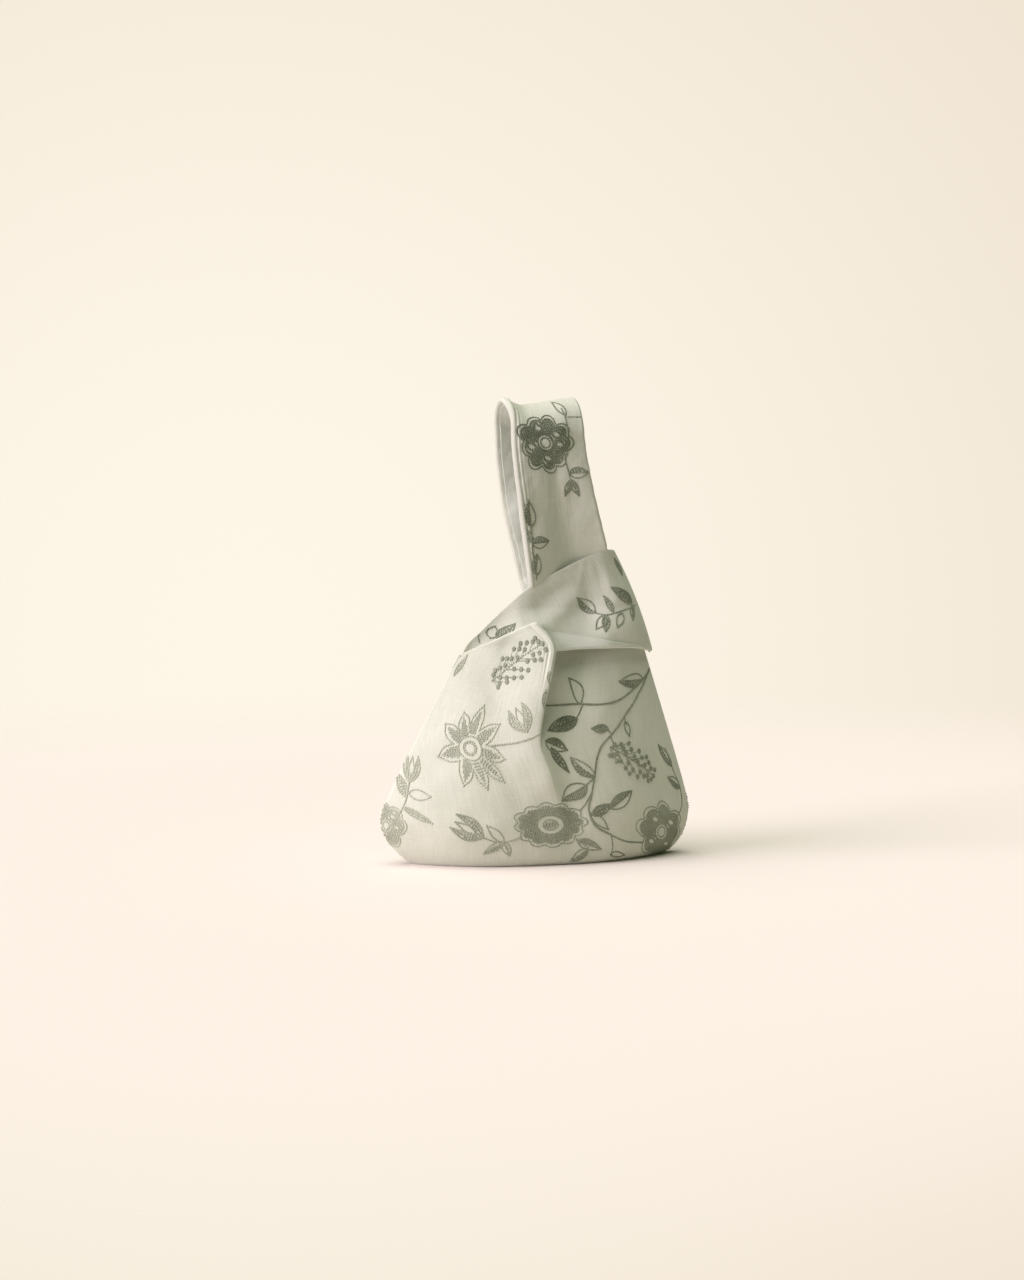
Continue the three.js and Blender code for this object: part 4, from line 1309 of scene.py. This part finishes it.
def berry(spot, along):
    """A small round berry, worked solid in a few short rows."""
    across_way = np.array([-along[1], along[0]])
    rows = []
    for off, half in BERRY_ROWS:
        middle = spot + across_way * off
        rows.append((np.array([middle - along * half, middle + along * half]), BERRY_BOLD, SHADE))
    return rows


# A spray's berries swing from side to side by the golden share, but never too near its stem.
GOLDEN_SHARE, LEAST_SWING = (math.sqrt(5) - 1) / 2, 0.2
BERRY_WOBBLE, WOBBLE_STEPS = 0.8, (2.4, 1.7)
SPRAY_STEPS, SPRAY_BOLD, TWIG_BOLD, FIRST_BERRY, SPRAY_TAPER = 20, 0.75, 0.4, 0.6, 0.5


def berry_spray(base, tip, width, count):
    """A stem with slender side twigs, each carrying small round berries."""
    base, axis, aside = aimed(base, tip)
    length = np.linalg.norm(axis)
    drawing = [(line_through([base, base + axis / 2 + aside, tip], SPRAY_STEPS), SPRAY_BOLD, SHADE)]
    for k in range(count):
        u = (k + FIRST_BERRY) / count
        swing = 2 * (k * GOLDEN_SHARE % 1) - 1
        swing = math.copysign(mix(LEAST_SWING, 1, abs(swing)), swing)
        off = width / 2 * (1 - SPRAY_TAPER * (2 * u - 1) ** 2) * swing
        wobble = BERRY_WOBBLE * np.array([math.cos(WOBBLE_STEPS[0] * k), math.sin(WOBBLE_STEPS[1] * k)])
        spot = base + axis * u + aside * off + wobble
        root = base + axis * max(0.0, u - abs(off) / length)
        drawing.append((np.array([root, spot]), TWIG_BOLD, SHADE))
        drawing += berry(spot, axis / length)
    return drawing + berry(np.array(tip, float), axis / length)


def toned(drawing, deeper):
    """The same drawing with each line made deeper or paler; some groups are made paler as painted light,
    others deeper as painted shade.
    """
    return [(points, bold, shade + deeper) for points, bold, shade in drawing]


def joined(*motifs):
    """Motifs as one drawing."""
    return [line for motif in motifs for line in motif]


# How much deeper or paler than plain sage each group of motifs is drawn. The left leaf's paler thread is
# painted light where the key light falls; the right leaf's deeper thread and the mouth's darker leaves are
# painted shade.
LEFT_PAINTED_LIGHT, BASE_TONE, BUD_TONE, RIGHT_PAINTED_SHADE, MOUTH_PAINTED_SHADE = -0.48, 0.05, -0.2, 0.33, 0.6
LOOP_TONE, STRAP_TONE, ROSETTE_TONE = 0.25, 0.3, 0.25

# On the front's left leaf: a star flower and a bud, a seam leaf, and a sprig at the lower corner.
left_vine = joined(
    star_flower((-59, 96), 32.5, 0.0, 0.8), stem((-42, 97), (-22, 99.5), (-12, 103.5), (-4, 109)),
    tulip((-15.5, 108), (-28, 126), 13), worked_leaf((-90, 160), (-87, 175), 5, "full"),
    stem((-140, 36), (-129, 46), (-121, 57), (-115, 72), bold=1.1), tulip((-115, 72), (-107, 94), 11),
    worked_leaf((-120, 60), (-124, 80), 8, "full"), worked_leaf((-117, 63), (-100, 60), 8, "open"),
    worked_leaf((-124, 52), (-103, 40), 5, "full"), rosette((-141, 38), 17, 19, 7, 0.3),
)
# Along the front's base: a pale bud with leaves, an oval flower and a rosette; above them, beside the
# mouth, a berry spray and two leaves.
base_bud = joined(
    tulip((-66, 29), (-86, 42), 14), stem((-66, 29), (-56, 25), (-48, 25), (-38, 28), bold=1.0),
    worked_leaf((-51, 25), (-62, 38), 6.5, "open"), worked_leaf((-51, 25), (-66, 15), 6, "half"),
    worked_leaf((-51, 25), (-47, 13), 6, "half"),
)
base_vine = joined(
    toned(base_bud, BUD_TONE),
    berry_spray((-53.5, 149), (-22, 176), 31, 32), worked_leaf((-9, 155), (-5.5, 146), 5, "full"),
    worked_leaf((-7.5, 140), (-5.5, 127), 4, "half"), oval_flower((-14, 36), 28.5, 17.5, 12),
    stem((4, 25), (9, 20), (14, 17), bold=0.9), worked_leaf((6, 22), (24, 15), 8, "half"),
    worked_leaf((14, 15), (0, 5), 7, "half"), rosette((84, 26.5), 27, 24.5, 8, 0.2),
)
# On the front's right leaf: the trailing stem with its leaves, branches and a berry spray.
right_vine = joined(
    stem((91, 156), (81, 138), (66, 119), (54, 105), (42, 88), (34, 74), (24, 58), (18, 45),
         (20, 35), (32, 27), (46, 21), (62, 19)),
    stem((89, 153), (76, 142), (60, 133), (43, 131), (25, 133), (1, 134)),
    worked_leaf((83, 148), (58, 147), 10, "half"), worked_leaf((28, 133), (16, 153), 7, "open", -2),
    stem((55, 106), (50, 111), bold=0.9), worked_leaf((51, 111), (38, 112), 7, "full"),
    stem((67, 120), (69, 114), bold=0.8), worked_leaf((68, 116), (72, 104), 5, "open"),
    worked_leaf((33, 72), (21, 87), 11, "half", 1.5), worked_leaf((23, 65), (-1, 54), 11, "half"),
    stem((32, 71), (24, 66), bold=1.0), stem((25, 60), (18, 52), (12, 46), bold=1.0),
    worked_leaf((20, 42), (37, 50), 7, "full"), worked_leaf((36, 47), (58, 60), 9, "half"),
    worked_leaf((19, 43), (31, 31), 7, "open"), stem((33, 27), (34, 17), (33, 9), bold=0.9),
    worked_leaf((33, 11), (45, 9), 5, "open"), stem((54, 105), (57, 99), (60, 95), bold=0.8),
    berry_spray((55, 95), (87, 71), 27, 30),
    stem((114, 92), (115, 76), (117, 60), (113, 46), (105, 38), bold=0.9),
    worked_leaf((115, 78), (106, 95), 9, "half"), worked_leaf((117, 61), (104, 69), 9, "half"),
)
# Leaves deep in the fold of the mouth, their thread darkened as painted shade.
mouth_vine = joined(
    stem((30, 132), (27, 124), (24, 120), bold=0.9), worked_leaf((26, 121), (4, 112), 13, "full"),
    worked_leaf((1, 102), (20, 93), 11, "half"), worked_leaf((8, 95), (14, 76), 7, "full"),
)
# The left vine is toned paler as painted light, the right vine and the mouth's leaves deeper as painted
# shade.
front_drawing = joined(
    toned(left_vine, LEFT_PAINTED_LIGHT), toned(base_vine, BASE_TONE),
    toned(right_vine, RIGHT_PAINTED_SHADE), toned(mouth_vine, MOUTH_PAINTED_SHADE),
)
# The same vine carried on over the back, with a rosette on each side of a star flower.
back_drawing = joined(
    star_flower((62, 92), 31, 0.5, 0.9), stem((32, 96), (18, 104), (4, 112)),
    tulip((16, 106), (22, 132), 14), oval_flower((-2, 34), 27, 16.5, 12),
    rosette((-70, 38), 24, 22, 8, 0.4),
    stem((-88, 150), (-78, 130), (-62, 110), (-46, 92), (-36, 74), (-30, 56), (-34, 44), (-48, 38)),
    stem((-86, 146), (-66, 132), (-44, 128), (-18, 132), (-2, 138)),
    worked_leaf((-46, 128), (-38, 148), 8, "open"), worked_leaf((-24, 131), (-10, 120), 11, "full"),
    worked_leaf((-60, 108), (-40, 112), 9, "half"), worked_leaf((-36, 76), (-16, 84), 11, "half"),
    worked_leaf((-32, 62), (-12, 66), 10, "half"), worked_leaf((-36, 76), (-54, 70), 8, "full"),
    berry_spray((-66, 108), (-97, 82), 26, 24), berry_spray((-55, 138), (-18, 172), 26, 24),
    stem((25, 30), (40, 26), (56, 34), (66, 48)), tulip((66, 48), (84, 62), 13),
    worked_leaf((40, 26), (50, 12), 7, "open"), worked_leaf((56, 34), (76, 28), 8, "half"),
    rosette((112, 42), 21, 20, 7, 0.1), worked_leaf((104, 62), (110, 84), 8, "half"),
    stem((80, 116), (84, 130), (82, 148)), worked_leaf((83, 128), (98, 136), 8, "half"),
    worked_leaf((83, 138), (68, 150), 8, "open"), worked_leaf((-118, 48), (-108, 70), 8, "half"),
    stem((-94, 40), (-108, 44), (-122, 40)), worked_leaf((-108, 44), (-114, 26), 7, "open"),
)
# Sprigs on the short loop: a trailing twig on the front, a leaf at its root, and another twig behind.
loop_drawing = joined(
    worked_leaf((117, 30), (107, 43.5), 10, "half"),
    stem((116, 30), (124.4, 26.5), (132, 28), (141, 31.4), (152, 35.4), bold=1.0),
    worked_leaf((130, 28.6), (127, 42), 4, "full", -1),
    worked_leaf((149.5, 38), (135, 49.5), 10, "full"),
    worked_leaf((124.5, 26), (112.5, 15.5), 6, "open"),
    worked_leaf((124.5, 26), (118.5, 13), 5, "full"), worked_leaf((137, 27.5), (129, 16), 5, "open"),
    worked_leaf((148.5, 35), (144, 23.5), 4, "full"), worked_leaf((149.6, 74), (149.2, 61), 4, "full"),
    worked_leaf((37, 18), (54, 28), 8, "full"), worked_leaf((33, 18), (41, 29), 6, "open"),
    stem((33, 26.5), (27, 21), (24.5, 16), bold=0.8),
    stem((168, 40), (184, 30), (202, 34), (220, 28), bold=1.0),
    worked_leaf((184, 30), (178, 48), 9, "half"), worked_leaf((202, 34), (212, 50), 10, "half"),
    tulip((220, 28), (236, 36), 12), worked_leaf((194, 32), (200, 16), 7, "open"),
)
# Sprigs up the long strap: a rosette near the top of the front leg and another on the back leg.
strap_drawing = joined(
    toned(rosette((25.5, 132), 21, 22.5, 9, 0.3, 0.06), ROSETTE_TONE),
    stem((40, 118), (43, 130), (43, 148), (41, 160), bold=0.9), stem((43, 152), (54, 153), bold=0.8),
    worked_leaf((43, 154), (36, 170), 6, "open"), stem((40, 120), (42, 110), (43.5, 103), bold=1.0),
    worked_leaf((42.5, 109), (57, 111), 8, "half"), worked_leaf((43.5, 104), (39, 92), 5, "full"),
    worked_leaf((43.5, 104), (49, 92), 5, "full"), worked_leaf((7.2, 68), (7.5, 88), 9, "half"),
    stem((5.5, 27), (5.5, 42), (6, 57), (7.2, 68), bold=1.0), worked_leaf((6, 55), (20, 56), 9, "half"),
    worked_leaf((6, 56), (2, 66), 5, "half"), worked_leaf((6, 30), (9, 46), 8, "half"),
    rosette((28, 236), 20, 21, 8, 0.1), stem((30, 257), (34, 266), (28, 278), (30, 288), bold=1.0),
    worked_leaf((34, 265), (48, 272), 10, "half"), worked_leaf((31, 271), (15, 278), 10, "half"),
    tulip((30, 288), (34, 303), 12), worked_leaf((28, 279), (44, 285), 9, "open"),
    stem((28, 214), (34, 200), (28, 184), bold=1.0), worked_leaf((32, 196), (46, 190), 8, "half"),
)


FLAP_SLACK = 0.05


def seen_part(right):
    """The right leaf without the part that lies under the flap."""
    points, flat = right
    place = flat[..., 0]
    corners = (place[:-1, :-1], place[1:, :-1], place[:-1, 1:], place[1:, 1:])
    return points, flat, np.minimum.reduce(corners) > MOUTH_PLACE - FLAP_SLACK


front_faces, back_faces = [front_left, seen_part(front_right)], [back_left, seen_part(back_right)]
loop_faces, strap_faces = [(loop_sheet, loop_flat)], [(strap_points, strap_flat)]
front_stitches = embroider("front_embroidery", front_drawing, front_faces, seed=2)
back_stitches = embroider("back_embroidery", back_drawing, back_faces, seed=3, mirrored=True)
loop_stitches = embroider("short_loop_embroidery", toned(loop_drawing, LOOP_TONE), loop_faces, seed=4)
strap_stitches = embroider("long_strap_embroidery", toned(strap_drawing, STRAP_TONE), strap_faces, seed=5)
for piece in (front_stitches, back_stitches):
    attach(piece, "bag_body")
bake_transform(loop_stitches)
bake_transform(strap_stitches)
bpy.data.objects.remove(stitch)
